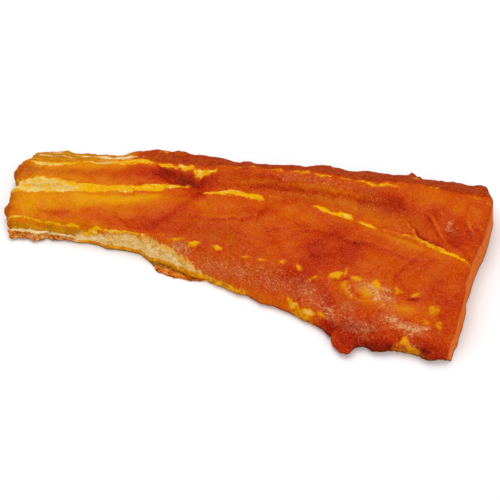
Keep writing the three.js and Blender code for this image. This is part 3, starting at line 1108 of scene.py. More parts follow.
@dataclass(frozen=True)
class SkinFinish:
    """Dull scaled fish skin, darker towards the back, with a torn flap in warmer colours."""

    dark: tuple = tint(92, 56, 22)
    brown: tuple = tint(146, 94, 30)
    pale: tuple = tint(196, 152, 72)
    flap_dark: tuple = tint(96, 48, 8)
    flap_brown: tuple = tint(198, 94, 8)
    flap_orange: tuple = tint(220, 112, 8)
    flap_cream: tuple = tint(246, 192, 76)
    small: Noise = Noise(2.2, 3.0, 0.6)
    broad: Noise = Noise(12.0, 3.0, 0.6)
    fibre: Noise = Noise(1.7, 3.0, 0.7, (2.6, 0.8, 0.8), -0.45)
    scale_size: float = 2.6
    scale_stretch: tuple[float, ...] = (1.25, 0.8, 1.0)
    scale_range: Point = (0.1, 0.55)
    pale_broad: float = 0.8
    pale_small: float = 0.7
    pale_range: Point = (0.2, 0.9)
    flap_places: tuple[float, ...] = (0.38, 0.44, 0.5, 0.55, 0.62)
    roughness: float = 0.5
    rough_swing: float = 0.2
    coat: float = 0.12
    coat_roughness: float = 0.4
    bump_depth: float = 0.6
    bump_small: float = 0.4
    bump_fibre: float = 0.5

    def build(self) -> bpy.types.Material:
        """Return the material."""
        s = Shader("smoked skin")
        small = s.noise(self.small)
        swing = (small - MIDDLE) * self.pale_small + (s.noise(self.broad) - MIDDLE) * self.pale_broad
        pale = (s.field("pale") + swing).ease(*self.pale_range)
        colour = s.mix(pale, self.dark, self.brown)
        scales = s.cells(self.scale_size, self.scale_stretch)
        colour = s.mix((1 - scales.ease(*self.scale_range)) * s.field("pale"), colour, self.pale)
        fibre = s.noise(self.fibre)
        colours = (self.flap_dark, self.flap_brown, self.flap_orange, self.flap_brown, self.flap_cream)
        torn = s.ramp(fibre, tuple(zip(self.flap_places, colours)))
        colour = s.mix(s.field("flap"), colour, torn)
        s.set(Base_Color=colour, Roughness=self.roughness + (small - MIDDLE) * self.rough_swing)
        s.set(Specular_IOR_Level=0.0, Coat_Weight=self.coat, Coat_Roughness=self.coat_roughness)
        s.bump(scales + small * self.bump_small + fibre * self.bump_fibre, self.bump_depth)
        return s.material


# The fillet's pieces


SEA = Grain(11)
RIPPLE = Grain(29)


@dataclass
class Place:
    """Where points of the surface lie, in millimetres.

    The distances belly and wide run over the surface from the belly edge and the wide
    cut; belly is below 0 on the belly wall. The layer is 1 on the flesh side and falls to
    0 on the sole. The warped wx and wy make edges ragged; mid and fine are clouds from
    -1 to 1.
    """

    x: Array
    y: Array
    z: Array
    belly: Array
    wide: Array
    layer: Array
    wx: Array
    wy: Array
    mid: Array
    fine: Array


@dataclass
class Flesh:
    """The body of flesh, with its fat, seams and cut faces.

    Places are in millimetres: x along the fish from the tail, y from the belly edge to
    the back edge.
    """

    form: Form
    along: int = 440
    across: int = 172
    layers: tuple[float, ...] = (0.0, 0.07, 0.17, 0.3, 0.45, 0.62, 0.8)
    sole_height: float = 0.4
    spine_margin: int = 50
    back_fat: tuple[Streak, ...] = streaks(
        (-133, 26.2, 0.6, -129, 25.8, 1.6, -120, 25, 2, -114, 27, 1.5, -108, 28.8, 0.8, -102, 31.2, 0.5),
        (-102, 31.2, 0.5, -98, 34.2, 0.8, -90, 35.1, 1.4, -80, 36.4, 1.8, -73, 38, 1.9, -66, 38.5, 1.4,
         -60, 38.2, 0.6),
        (-56, 37.8, 0.6, -51.5, 37.4, 1.5, -47.5, 38.2, 0.8),
        (-45.5, 40.4, 1, -42, 38.8, 1.9, -37, 39.4, 1.2), (-34, 36.6, 1.1, -31.8, 36, 2.6, -29.5, 37, 1.5),
        (-29.5, 36.6, 1.3, -26, 37, 1.5, -22, 38.3, 0.6),
        (-10, 39.4, 0.4, -6, 41, 0.6, -1, 42.8, 0.8, 3, 42.6, 0.4, 0.7),
        (9, 41.6, 0.2, 13, 42, 0.5, 16, 42.3, 0.3, 0.85),
        (24.5, 42, 0.3, 28.5, 41.9, 0.6, 32, 42, 0.3, 0.9),
        (37, 42, 0.3, 41, 41.6, 0.7, 45, 41.2, 0.3, 0.95),
        (50.5, 42.8, 0.3, 54, 43.4, 0.6, 57, 44, 0.4, 0.85),
        (61, 43.9, 0.4, 64.5, 44, 0.7, 68, 43.4, 0.7, 0.95), (68.6, 43.6, 0.5, 71.5, 42.2, 1.1, 0.95),
        (74.5, 43.4, 0.5, 78.5, 43.6, 0.9, 82.4, 43.2, 0.4, 0.95), (101.8, 48.4, 0.3, 106, 49, 0.5, 0.9),
        (127, 48.2, 0.3, 131, 46.5, 0.6, 0.9), (136.6, 44.8, 0.4, 138, 44.2, 0.4),
    )
    seam_fat: tuple[Streak, ...] = streaks(
        (-24, 20.2, 0.5, -19, 21.2, 1.1, -13, 21.9, 2.2, -9.3, 22.6, 2.5, -4, 22.6, 2.1, 0, 23, 2.2,
         4.5, 22.8, 2.8, 7.5, 22.4, 1.8, 10.5, 22, 0.4),
        (14, 25.4, 0.2, 18, 25.4, 0.6, 22, 25.2, 0.2, 0.62),
        (41, 20.4, 0.6, 45.5, 19.6, 1.8, 49.5, 17.7, 1.2, 53.5, 16.4, 1.5, 57.5, 17.8, 2.4, 60.5, 18.3, 2,
         63, 17.2, 0.5),
        (67.5, 15.4, 0.4, 71.3, 14.2, 1.3, 75, 13.2, 1, 78, 12.4, 0.4),
        (78, 12.4, 0.3, 86, 11.2, 0.4, 93.6, 9.8, 0.5, 0.64),
        (93.6, 9.8, 0.7, 96.6, 9, 0.4, 102, 7.6, 0.8, 108.2, 5.2, 1.2, 113, 3, 1.5, 118.3, 0.9, 2,
         122, -0.6, 2.1, 126.5, -2.4, 1.6, 130, -3.5, 0.8, 133, -3.8, 0.3, 0.82),
    )
    belly_fat: tuple[Streak, ...] = streaks(
        (-134, -21.4, 0.3, -129.4, -20.9, 0.55, -126, -20, 0.6, -122, -19.6, 0.6),
        (-122, -19.6, 0.6, -118, -19.8, 0.55, -114, -20.4, 0.45, -110.5, -20.9, 0.3),
        (-110, -20.8, 0.3, -104.7, -20.3, 0.45, -100, -20.5, 0.4, -96, -20.4, 0.2, 0.85),
        (-96, -20.2, 0.2, -91, -19.9, 0.45, -87.5, -20.1, 0.2),
        (-85.4, -21.6, 0.2, -82.5, -21.4, 0.5, -79.6, -20.2, 0.5, -77, -19.4, 0.6, -74, -19.8, 0.2),
        (-80.5, -20.9, 0.3, -78, -20.6, 0.7, -76.4, -20.6, 0.3, 0.9),
        (-72.5, -19.9, 0.3, -68, -19.8, 0.6, -63, -19.8, 0.5, -58, -19.6, 0.4, -52, -19.8, 0.3, 0.95),
    )
    dots: tuple[Spot, ...] = spots(
        (-49, -20.3, 1.6, 0.6, 0, 0.98), (-39, -18.9, 3, 0.9, 0.1, 0.6), (-30, -21, 3.8, 1.3, 0.25, 0.7),
        (-18.6, -21.8, 3, 1.6, 0.4, 0.86), (-5.6, -21.6, 2.7, 1.4, -0.1, 0.92),
        (10.3, -25.5, 3.2, 1.1, -0.15, 0.6), (21.4, -26.4, 2.9, 1.2, -0.05, 0.66),
        (32.6, -26.2, 2.2, 1.7, -0.3, 0.64), (42, -27.4, 3, 1.5, -0.6, 0.58),
        (52.3, -31.8, 3.3, 1.6, 0.15, 0.55), (63.2, -27.6, 4.2, 2.2, 0.45, 0.7),
        (67.6, -25.2, 1.1, 2.6, -0.1, 0.66), (74.4, -29, 3.4, 2.2, 0.1, 0.62),
        (86.2, -30.6, 3.5, 2, -0.8, 0.76), (97.4, -31.6, 2.3, 3, 0.3, 0.54),
        (108, -32.4, 4, 1.6, 0.35, 0.56), (118.4, -39.8, 3.6, 3.6, 0.3, 0.47),
        (122.4, -47.4, 5, 2.4, -0.9, 0.47), (115.6, -47.2, 2.6, 2, 0, 0.44), (42, -45, 3, 1.1, -0.8, 0.7),
        (53.2, -49.6, 3.8, 1.5, -0.4, 0.88), (49.6, -50.6, 6, 0.9, -0.35, 0.8),
        (43.6, -46.8, 2.2, 1.4, -0.6, 0.84), (46.6, -49.2, 2.6, 1.2, -0.6, 0.62),
        (60.2, -50.9, 3.2, 1.5, -0.3, 0.6), (93, 59.6, 3, 1.6, 0, 0.6), (39, 58.4, 6, 1.6, 0, 0.5),
        (-57, 52, 4.5, 1, 0, 0.6), (-50, 52.4, 2.2, 0.8, 0, 0.55), (105.2, -59.6, 2.6, 0.8, 1.2, 0.72),
        (109, -60.4, 3.2, 0.7, -0.7, 0.74), (106.4, -58.4, 1, 2.2, 0.5, 0.8),
        (113, -62.2, 3, 0.6, -0.2, 0.66), (103, -61.6, 3, 0.8, 0.4, 0.54),
    )
    band_top: tuple[Point, ...] = (
        (-140, 10.6), (-132.4, 10.4), (-127.5, 11.2), (-119.4, 13.2), (-113.4, 12.8), (-106, 10.9),
        (-100, 10.2), (-92.8, 11.2), (-87, 12.4), (-80, 13.4), (-73, 16.2), (-65, 16.4), (-57.5, 18.8),
        (-48.7, 23.2), (-44.5, 25.4), (-41, 25.6), (-36, 27.2), (-33.5, 27.6),
    )
    band_bottom: tuple[Point, ...] = (
        (-140, 2.0), (-135, -1.0), (-131.5, -3.0), (-127, -2.2), (-118.5, 0), (-108.5, 0.4), (-99.7, 2.2),
        (-91, 4.2), (-86.4, 6.8), (-81.4, 9.2), (-74, 10.2), (-67.3, 11.6), (-58, 12.9), (-52, 15.4),
        (-44, 19.4), (-41.3, 21.8), (-39, 24.2), (-35, 26.2),
    )
    band_gaps: tuple[Streak, ...] = streaks(
        (-96, 6.4, 0.4, -88, 9.6, 1.2, -80, 11.6, 0.8), (-108, 4.2, 0.2, -100, 4.6, 0.7, -94, 5.4, 0.4),
        (-66, 15, 0.2, -60, 17, 0.6, -54, 18.8, 0.2),
    )
    smudges: tuple[Streak, ...] = streaks(
        (-132, 5.6, 0.3, -126, 5, 1.4, -117, 5.4, 1.8, -108, 4.6, 1.2, -100, 5.4, 0.4),
        (-122, 9, 0.3, -114, 8.6, 1, -107, 9.2, 0.3, 0.7),
        (-105, 30.6, 0.4, -97, 34, 1.4, -86, 35.6, 1.6, -76, 37.4, 0.6, 0.75),
        (103, -60.2, 0.8, 108, -60.6, 1.6, 115, -62.2, 1, 0.7),
    )
    strip_top: tuple[Point, ...] = (
        (-96, -23), (-86, -21.8), (-72, -21.0), (-63, -20.4), (-54, -20.2), (-44.6, -21.3), (-35.2, -23.2),
        (-29, -25.8), (-24, -28.3), (-18.5, -31), (-12.2, -32.8), (-6, -35), (1.4, -38.4), (12, -45),
    )
    strip_spots: tuple[Spot, ...] = spots(
        (-19.5, -31, 6.5, 2, -0.42, 0.6), (-8, -36, 8, 1.6, -0.36, 0.72), (-29, -27.6, 5, 2.2, -0.4, 0.6),
        (-31, -24.6, 7, 2, -0.3, 0.5),
    )
    tones: tuple[Spot | Streak, ...] = (
        *spots(
            (-100, 0, 42, 9, 0.12, 0.12), (-60, 5, 20, 5, 0.25, 0.26), (-88, -1, 12, 4, 0.2, 0.1),
            (-101, -15, 12, 3, 0, -0.2), (-77, -13, 15, 2.6, 0, -0.12), (-84, -8, 7, 2.4, 0.2, -0.14),
            (-60, -16, 18, 2.6, 0, -0.1), (-46, -13, 15, 5, 0, -0.06), (-120, -10, 14, 6, 0, 0.12),
            (-30, -10, 12, 9, 0, -0.04), (-118, 22, 22, 5, 0.05, -0.1), (-126, 23, 10, 2.4, 0.05, 0.22),
            (-92, 31, 20, 3.2, 0.25, 0.16), (-80, 24, 24, 6, 0.15, -0.12), (-28, 19, 7, 4, 0, -0.16),
            (-14, 10, 14, 8, 0, 0.14), (-40, 2, 12, 5, 0.3, 0.08), (26, 31, 34, 4.5, 0, 0.14),
            (56, 27, 16, 6, -0.2, 0.16), (78, 20, 16, 4, -0.3, 0.1), (94, 3.4, 30, 4.6, -0.25, 0.2),
            (13, 8, 8, 5, 0, -0.12), (34, 12, 16, 5, -0.3, 0.08), (56, -4, 15, 10, -0.5, -0.16),
            (52, -21, 12, 7, -0.4, -0.2), (66, -10, 9, 8, 0, -0.1), (122, 17, 11, 9, -0.3, -0.2),
            (107, 27, 5, 6, -0.3, -0.12), (123, -33, 9, 9, 0, -0.1), (128, -46, 6, 9, 0, -0.08),
            (122, -54, 7, 7, 0, -0.08), (94, -64, 14, 3.2, 0, -0.38), (122, -61, 10, 4, 0, -0.3),
            (74, -57, 10, 5, 0, -0.26), (77, -66, 8, 5, 0, -0.22), (88, -57, 16, 6, 0, -0.14),
            (40, -36, 16, 4, -0.3, -0.14), (97, -46, 8, 3, 0, -0.12), (46, -32, 11, 5, -0.3, -0.16),
            (68.8, -30.6, 2.4, 1.1, 0.1, -0.45), (107.5, -35.2, 2.8, 1.1, 0.2, -0.5),
            (67, -34, 5, 4, 0, 0.2), (82, -35.5, 5.5, 4.4, -0.3, 0.42), (72, -37, 5, 4, 0, 0.1),
            (101, -42, 10, 4.2, 0, 0.26), (20, -31, 8, 3, -0.1, 0.1), (-12, -30, 9, 4, -0.3, 0.1),
            # The dark spots at (-62, 29), (-52, 31), (-43, 32) and (-32, 29) are painted shade in the hollow;
            # the one at (85, 33) is painted shade where the groove under the back lobe ends
            (-138, 18, 5, 8, 0, -0.14), (-132, -12, 5, 9, 0, -0.1), (-62, 29, 14, 6, 0.1, -0.2),
            (-43, 32, 13, 5, -0.25, -0.24), (-32, 29, 10, 5, 0.2, -0.28), (14, 35, 15, 3.2, 0, -0.2),
            (-6, 40.6, 2.4, 1.8, 0, -0.5), (-52, 31, 10, 4, -0.2, -0.12), (72, 33, 9, 5, -0.3, -0.14),
            (85, 33, 9, 5, -0.4, -0.3), (110, 41, 24, 6, -0.05, 0.12), (130, 30, 8, 10, 0, 0.06),
        ),
        # Painted shade along the crease from (-27, 20) to (-45, -11) and the crease at x 63 to 66, and the
        # painted shadow line under the back lobe
        *streaks(
            (-27, 20, 2.6, -30, 10, 2.6, -37, -3, 2.8, -45, -11, 3.4, -0.17),
            (63, -36, 4, 66, -56, 7, -0.17),
            (0, 30.6, 1.2, 29, 32.6, 1.2, 59, 32.4, 1.2, 80, 30, 1.2, -0.14),
        ),
    )
    browns: tuple[Spot, ...] = spots(
        (-134, 20, 7, 8, 0, 0.5), (-105, 20, 24, 3, 0.08, 0.3), (-135, -10, 5, 10, 0, 0.45),
        (34, 28.5, 34, 5, -0.05, 0.42), (72, 32, 14, 8, -0.3, 0.34), (-40, 34, 14, 6, -0.2, 0.16),
        (-10, -16, 24, 12, -0.3, 0.26), (96, 20, 12, 10, -0.3, 0.2), (-5, 34, 16, 6, 0, 0.2),
    )
    # Painted shade in the hollow, under the amber lobe, at the feet of the flakes and in the cracks, and dark
    # lines along the muscle bands
    painted_shade_and_dark_lines: tuple[Streak, ...] = streaks(
        (-56, 34.8, 0.6, -50, 33.6, 2, -44, 32.6, 3, -38, 30.6, 3.2, -33, 28.8, 2.2, -30, 25.5, 0.8, -0.16),
        (-58, 30, 0.3, -51, 28.4, 0.7, -46, 26.4, 1.2, -41, 26.2, 1.6, -36, 27.2, 1, -0.22),
        (-25, -1.4, 0.4, -14.7, -3, 0.5, -7, -0.4, 0.6, 2, -0.4, 0.5, 8, 2.2, 0.4, -0.13),
        (11, -1, 0.4, 11.6, 3, 0.9, 12.4, 9, 1.2, 14, 15, 1.2, 19.4, 21.4, 0.7, -0.1),
        (20, -6, 0.3, 22, -4.2, 0.7, 26, -2.8, 0.8, 31, -2.4, 0.9, 37, -1.8, 0.5, -0.12),
        (38, -17, 0.5, 40, -14.6, 0.9, 44, -12, 1.1, 48, -9.3, 1.2, 53.9, -3.2, 1.3, 57, 0.6, 0.9, -0.12),
        (60, -2, 0.5, 63.5, -4, 1, 69.1, -4.6, 1.2, 77.5, -3.2, 1, 82.5, -4.2, 1, 93.3, -7.9, 0.9,
         100, -9.8, 0.6, -0.14),
        (94, -27, 0.4, 95.2, -21, 1, 97.4, -16, 1.3, 102.1, -8.7, 1, -0.13),
        (106.6, -22, 0.5, 109.2, -12.6, 1, 114, -6, 0.8, -0.09), (24, 6, 0.3, 34, 3, 0.6, 44, 4, 0.3, -0.1),
        (-2, -8, 0.3, 6, -12, 0.6, 16, -13, 0.3, -0.1), (118, 11, 1, 127, 5, 1.6, 131, 0, 1, -0.2),
        (98, -62.6, 0.4, 104, -63, 0.5, 109, -61.8, 0.5, 113, -62.4, 0.9, 119, -63.2, 1.2, -0.4),
        (104, -57.4, 0.2, 107.4, -59.4, 0.5, 112, -61.2, 0.3, -0.3),
        (98, 11.4, 0.3, 104, 9.6, 0.6, 112, 6.6, 0.6, 118, 4.2, 0.4, -0.22),
        (99, 17, 0.3, 101, 12.5, 0.6, 103, 9.4, 0.4, -0.2),
        (-114, -13, 0.2, -104, -14.4, 0.7, -96, -13, 0.5, -0.14),
        (-70, -11, 0.3, -62, -12.4, 0.8, -52, -9, 0.4, -0.12),
    )
    # Painted highlights: a broad sheen below the fat band and a small glint beside it
    glints: tuple[Streak, ...] = streaks(
        (-96, 0.6, 0.8, -80, 2.6, 2.2, -60, 7, 2.6, -50, 10, 1, 0.16),
        (-80, 4, 0.2, -77, 4.4, 0.5, -74, 4.2, 0.2, 0.5),
    )
    scarps: tuple[Scarp, ...] = scarps(
        (109, 5.4, 0.2, 104.5, 7.6, 0.8, 101.4, 9.2, 1.1, 99.4, 12.4, 1, 97.2, 16.6, 0.8, 94, 21.8, 0.5,
         90.5, 27, 0.1),
        (102.5, 29, 0.1, 106.2, 26.4, 0.8, 109.8, 20.4, 0.9, 113.2, 13.6, 0.6, 118, 8, 0.2),
        (125.4, 29.4, 0.1, 127.6, 26.4, 0.8, 130.2, 21, 0.7, 131.4, 16, 0.1),
        (132, 27, 0.1, 133.8, 25, 0.6, 135.2, 22, 0.1, 3),
        (133, -3, 0.2, 126.5, -1, 0.7, 118, 2.4, 0.9, 108, 6.4, 0.8, 103, 8.6, 0.6, 96, 10.4, 0.3,
         86, 12, 0.1),
        (-6, 29.4, 0.1, 2, 30.6, 0.5, 12, 31.9, 0.4, 24, 33.4, 0.4, 36, 33.8, 0.4, 48, 32.9, 0.4,
         57, 32, 0.4, 66, 32.4, 0.3, 76, 33, 0.1, 6, 1.8),
        (-25, -1.6, 0.1, -14.7, -3, 0.3, -7, 0, 0.3, 2, 0, 0.3, 10, 3, 0.1, 5, 1.6),
        (-34, 26.6, 0.2, -38.5, 25.2, 0.7, -44, 23.6, 0.6, -48, 22, 0.6, -58, 18.6, 0.3, -69, 15.8, 0.1),
        (61, -34, 0.1, 63.4, -42, 0.2, 67.4, -49, 0.14, 71, -58, 0.14, 76, -65, 0.1, 5, 2.6),
        (92, -30, 0.1, 96, -20, 0.3, 102, -9, 0.3, 106, -3, 0.1, 8, 1.6),
        (60, -2, 0.1, 66, -4.4, 0.22, 77.5, -3.2, 0.2, 93.3, -7.9, 0.2, 100, -9.8, 0.1, 8, 2),
        (30, -6, 0.1, 36, -2, 0.3, 46, 2, 0.3, 54, 3, 0.1, 6, 1.6),
        (88, -40, 0.1, 80, -41, 0.5, 73, -38, 0.5, 70, -34, 0.5, 73, -30.5, 0.1, 2.5, 1.4),
        (99, -47, 0.1, 92, -41, 0.5, 90, -36, 0.5, 93, -32, 0.1, 2.5, 1.4),
        (118, -53, 0.1, 109, -50, 0.4, 100, -51, 0.4, 92, -56, 0.1, 2.5, 1.4),
    )
    wisps: tuple[Spot | Streak, ...] = (
        *streaks(
            (60, -31.6, 0.3, 61.4, -28, 0.6, 60, -36, 0.3, 0.8),
            (71.4, -34, 0.3, 72, -37, 0.7, 74.5, -40, 0.5, 0.8),
            (68, -30.4, 0.2, 75, -31.4, 0.5, 80, -31.4, 0.5, 0.6),
            (82, -31.6, 0.6, 86, -33.4, 1.4, 88, -37, 1.3, 85.6, -40.4, 0.5),
            (87, -37, 0.8, 93, -36.4, 1.6, 98.6, -38.6, 0.6, 0.7),
            (84, -29, 0.5, 90, -31.6, 0.9, 95, -33, 0.5, 0.8),
            (101, -52, 0.4, 105.4, -53.2, 0.9, 112, -53.2, 1.1, 117, -50.6, 0.5),
            (104, -55.6, 0.3, 109, -56, 0.7, 114.6, -55, 0.3, 0.8),
            (-10, 1.4, 0.2, -7, 1.6, 0.5, -5.4, -1.6, 0.3, 0.8),
            (14, 3.6, 0.2, 17, 4.8, 0.4, 19, 3.6, 0.2, 0.5),
            (-34, -22.4, 0.4, -28, -24.6, 1.1, -22, -27.6, 0.7, 0.6),
            (-30, -20.6, 0.3, -22, -24, 0.7, -14, -28.4, 0.4, 0.4),
        ),
        *spots(
            (98.6, -49.4, 2.6, 1.8, -0.4, 0.8), (117.2, 25, 1.8, 1.3, -0.4, 0.8),
            (66, -48.6, 3.4, 2, -0.6, 0.55),
        ),
    )
    # Whitish frost on the belly membrane; the spots at (118, 21), (50, 38) and (22, 38) are painted sheen on
    # the tops of the lobes
    frost_and_sheen_spots: tuple[Spot, ...] = spots(
        (-26, -24, 9, 3, -0.4, 0.8), (-6, -31, 12, 4, -0.3, 0.55), (14, -34, 16, 6, -0.25, 0.4),
        (34, -36, 17, 7, -0.3, 0.36), (52, -41, 10, 7, -0.3, 0.5), (63, -49, 6, 4, -0.5, 0.6),
        (73, -46, 9, 7, 0, 0.45), (89, -34, 7, 4.4, -0.3), (77, -33, 7, 3, -0.3, 0.5),
        (95, -42, 7, 3, -0.5, 0.4), (97, -50, 6, 4, -0.3, 0.8), (110, -52.6, 8, 3, -0.1),
        (84, -56, 10, 5, 0, 0.6), (110, -60.4, 7, 2.4, -0.2, 0.6), (118, 21, 5, 3, -0.4, 0.7),
        (50, 38, 20, 3.4, 0, 0.35), (22, 38, 20, 3, 0, 0.3), (-60, 26, 9, 2, 0.4, 0.4),
    )
    far_streaks: tuple[Streak, ...] = streaks(
        (-132, 35.4, 0.3, -126, 34.6, 0.8, -116, 34.4, 0.6, -108, 36, 0.2),
        (-130, 39.4, 0.2, -124, 39.6, 0.6, -116, 40.6, 0.3),
        (-114, 39.6, 0.2, -104, 39.4, 0.8, -96, 40.2, 1.2, -86, 40.6, 1.7, -76, 42.4, 1.4, -68, 44, 0.3),
        (-96, 37, 0.2, -88, 38.6, 0.7, -78, 40, 0.8, -70, 41, 0.2),
    )
    far_from: tuple[Point, ...] = (
        (-140, 27), (-120, 26.6), (-110, 29.4), (-102, 32), (-96, 34.6), (-75, 38.6), (-40, 40), (26, 42),
        (140, 50),
    )
    band_line: tuple[Point, ...] = (
        (-140, 9.7), (-127, 9.3), (-113, 7.5), (-105, 5.0), (-98, 3.8), (-89, 3.2), (-80, 2.6),
    )
    crust_line: tuple[Point, ...] = (
        (-140, 7.4), (-124, 7.0), (-112, 5.4), (-101, 2.8), (-90, 1.2), (-80, 0.2),
    )
    moss_line: tuple[Point, ...] = (
        (-140, 17.6), (-127, 17.4), (-115, 16), (-111, 14.2), (-99, 13.4), (-87, 12.2), (-79, 9.4),
    )
    ochre_line: tuple[Point, ...] = (
        (-90, 0.9), (-60, 1.3), (-45, 2.0), (-20, 2.8), (0, 3.2), (20, 2.4),
    )
    cream_and_highlight_spots: tuple[Spot, ...] = spots(
        (-31.5, 36, 2.4, 2), (-43, 40, 3, 1.6), (-49, -21, 2, 2), (53, -50, 4, 2), (43.4, -46.6, 3, 2),
        (48, 19, 4, 0.8, 0, 0.6), (59, 18.2, 4, 0.8, 0, 0.6), (-120, 26, 14, 3), (-11, 23, 4, 1.4),
        # The spot at (-124, -20) is a painted highlight on the thin belly fat line
        (-124, -20, 10, 2, 0, 0.4), (-92, 35, 14, 4), (-66, -20, 4, 1.5),
    )
    # How strong, how soft and how wide each is
    cream_dims: tuple[tuple[float, Span], ...] = ((0.04, Span(8, 20)), (0.08, Span(60, 80)))
    cream_base: float = 0.2
    cream_tail: float = 0.26
    cream_end: Span = Span(-108, -84)
    cream_gain: float = 0.35
    lean: Point = (0.8, 0.6)
    mid_cloud: Cloud = Cloud(SEA, 1.0, 7.0)
    fine_cloud: Cloud = Cloud(RIPPLE, 1.0, 2.6)
    warp_x: Cloud = Cloud(SEA, 1.3, 4.5, right=91)
    warp_y: Cloud = Cloud(RIPPLE, 0.9, 4.0, up=53)
    warp_y_fine: Cloud = Cloud(SEA, 0.5, 1.8, 2, up=17)
    warp_fine: float = 0.7
    tone_base: float = 0.5
    tone_tail: float = 0.3
    tone_end: Span = Span(-120, -25)
    tone_cloud: float = 0.13
    tone_wall: float = 0.25
    shade_and_glint_soft: float = 2.6
    gold_rim: float = 0.16
    gold_width: float = 4.5
    gold_reach: Stretch = Stretch(Span(-14, 8), Span(44, 58))
    belly_side: float = 10.0
    cut_depth: float = 0.6
    band_soft: float = 5.0
    band_end: Span = Span(-37, -33)
    band_margin: float = -1.0
    gap_soft: float = 3.0
    gap_depth: float = 0.6
    gap_least: float = 0.4
    fat_soft: float = 4.4
    line_soft: float = 1.5
    line_warp: float = 0.45
    dot_soft: float = 2.6
    dot_start: Span = Span(-30, 10)
    smudge_soft: float = 3.0
    belly_warp: float = 0.5
    tail_side: Span = Span(-92, -80)
    strip_warp: float = 0.8
    strip_soft: float = 4.2
    strip_reach: Stretch = Stretch(Span(-96, -84), Span(-20, 2))
    strip_spot_soft: float = 6.0
    pale_width: float = 1.3
    pale_soft: float = 2.4
    ochre_ends: Point = (0.3, 1.2)
    ochre_start: Span = Span(-92, -84)
    ochre_rim: float = 0.9
    ochre_rim_reach: Stretch = Stretch(Span(-50, -36), Span(2, 30))
    ochre_top: float = 0.5
    ochre_top_at: Point = (0.4, 2.2)
    ochre_top_reach: Stretch = Stretch(Span(-66, -44), Span(-22, -8))
    wrinkle_range: Point = (-7.5, -3.0)
    wrinkle_start: Span = Span(-84, -66)
    olive_soft: float = 3.0
    olive_end: Span = Span(-84, -72)
    olive_patch: float = 0.55
    olive_patch_width: float = 2.2
    olive_patch_at: Point = (111, 7)
    crust_warp: float = 1.2
    crust_soft: float = 1.8
    far_range: Point = (0.0, 2.0)
    far_tail: Span = Span(-86, -62)
    far_olive: Point = (0.75, 0.35)
    far_tan: Point = (0.72, 0.45)
    far_soft: float = 3.0
    far_body: Span = Span(-84, -60)
    far_brown: float = 0.6
    far_tone: float = 0.2
    brown_cloud: float = 0.12
    brown_most: float = 0.88
    frost_body: float = 0.14
    frost_start: Span = Span(-60, 40)
    wisp_soft: float = 2.6
    shade_wall: float = 0.7
    shade_open: float = 0.5
    shade_range: Point = (0.35, 0.95)
    lumps: tuple[Cloud, ...] = (
        Cloud(SEA, 0.5, 9.0, 2), Cloud(RIPPLE, 0.3, 4.0, 2, right=13), Cloud(SEA, 0.2, 1.9, 1, up=71),
    )
    fold_cloud: Cloud = Cloud(RIPPLE, 1.0, 8.0, 2, up=29)
    fold_stretch: float = 0.6
    fold_depth: float = 0.5
    fold_range: Point = (0.86, 1.0)
    bead_cloud: Cloud = Cloud(RIPPLE, 0.5, 2.4, 2, right=41)
    bead_height: Point = (0.1, 0.6)
    bead_range: Point = (0.3, 0.85)
    bead_calm: float = 0.8
    crumb_height: float = 1.1
    rim_range: Point = (-1.0, 3.0)
    wall_height: float = 9.0

    def leaning(self, x: Array, y: Array, z: Array) -> tuple[Array, Array]:
        """Return x and y shifted with the height, so that noise doesn't run straight down a wall."""
        return x + self.lean[0] * z, y - self.lean[1] * z

    def place(self, x: Array, y: Array, z: Array, belly: Array, wide: Array, layer: Array) -> Place:
        """Return the places, with x and y also warped by up to 2 mm in clouds."""
        s, t = self.leaning(x, y, z)
        mid, fine = self.mid_cloud.at(s, t), self.fine_cloud.at(s, t)
        wx = x + self.warp_x.at(s, t) + self.warp_fine * fine
        wy = y + self.warp_y.at(s, t) + self.warp_y_fine.at(s, t)
        return Place(x, y, z, belly, wide, layer, wx, wy, mid, fine)

    def tone_at(self, p: Place) -> Array:
        """Return the tone of the flesh, from 0 for maroon to 1 for gold, with painted shade and painted
        highlights laid in.
        """
        tone = self.tone_base + self.tone_tail * self.tone_end.fall(p.x) + self.tone_cloud * p.mid
        tone = tone + glow_of(self.tones, p.wx, p.wy)
        # Painted shade lines and painted glints
        for shade_or_glint_line in (*self.painted_shade_and_dark_lines, *self.glints):
            tone = tone + shade_or_glint_line.field(p.wx, p.wy, self.shade_and_glint_soft)
        # Painted highlight on each flake's edge and painted shade at its foot
        tone = tone + sum(scarp.light(p.wx, p.wy) for scarp in self.scarps)
        rim = bell(p.belly / self.gold_width) * self.gold_reach.at(p.x) * (p.y < self.belly_side)
        wall = (1 - p.layer) * (p.wide > self.cut_depth)
        return tone + self.gold_rim * rim - self.tone_wall * wall

    def fat_at(self, p: Place) -> dict[str, Array]:
        """Return where the fat is, how creamy it is, where it is smudged and where its dots are."""
        top, bottom = course(self.band_top, p.wx), course(self.band_bottom, p.wx)
        within = np.minimum(top - p.wy, p.wy - bottom)
        gaps = field_of(self.band_gaps, p.wx, p.wy, self.gap_soft)
        band = inside(within, self.band_soft) * self.band_end.fall(p.x)
        band = band - self.gap_depth * np.maximum(gaps - self.gap_least, 0.0)
        patches = field_of((*self.back_fat, *self.seam_fat), p.wx, p.wy, self.fat_soft)
        lines = field_of(self.belly_fat, p.wx, blend(p.y, p.wy, self.line_warp), self.line_soft)
        dots = field_of(self.dots, p.wx, p.wy, self.dot_soft)
        cream_and_highlight = self.cream_base + self.cream_tail * self.cream_end.fall(p.x) * (within > self.band_margin)
        cream_and_highlight = cream_and_highlight + self.cream_gain * glow_of(self.cream_and_highlight_spots, p.x, p.y)
        for amount, span in self.cream_dims:
            cream_and_highlight = cream_and_highlight - amount * span.rise(p.x)
        return {
            "fat": np.maximum.reduce([band, patches, lines, dots]),
            "cream_and_highlight": cream_and_highlight,
            "soil": field_of(self.smudges, p.wx, p.wy, self.smudge_soft),
            "dot": dots * self.dot_start.rise(p.x),
        }

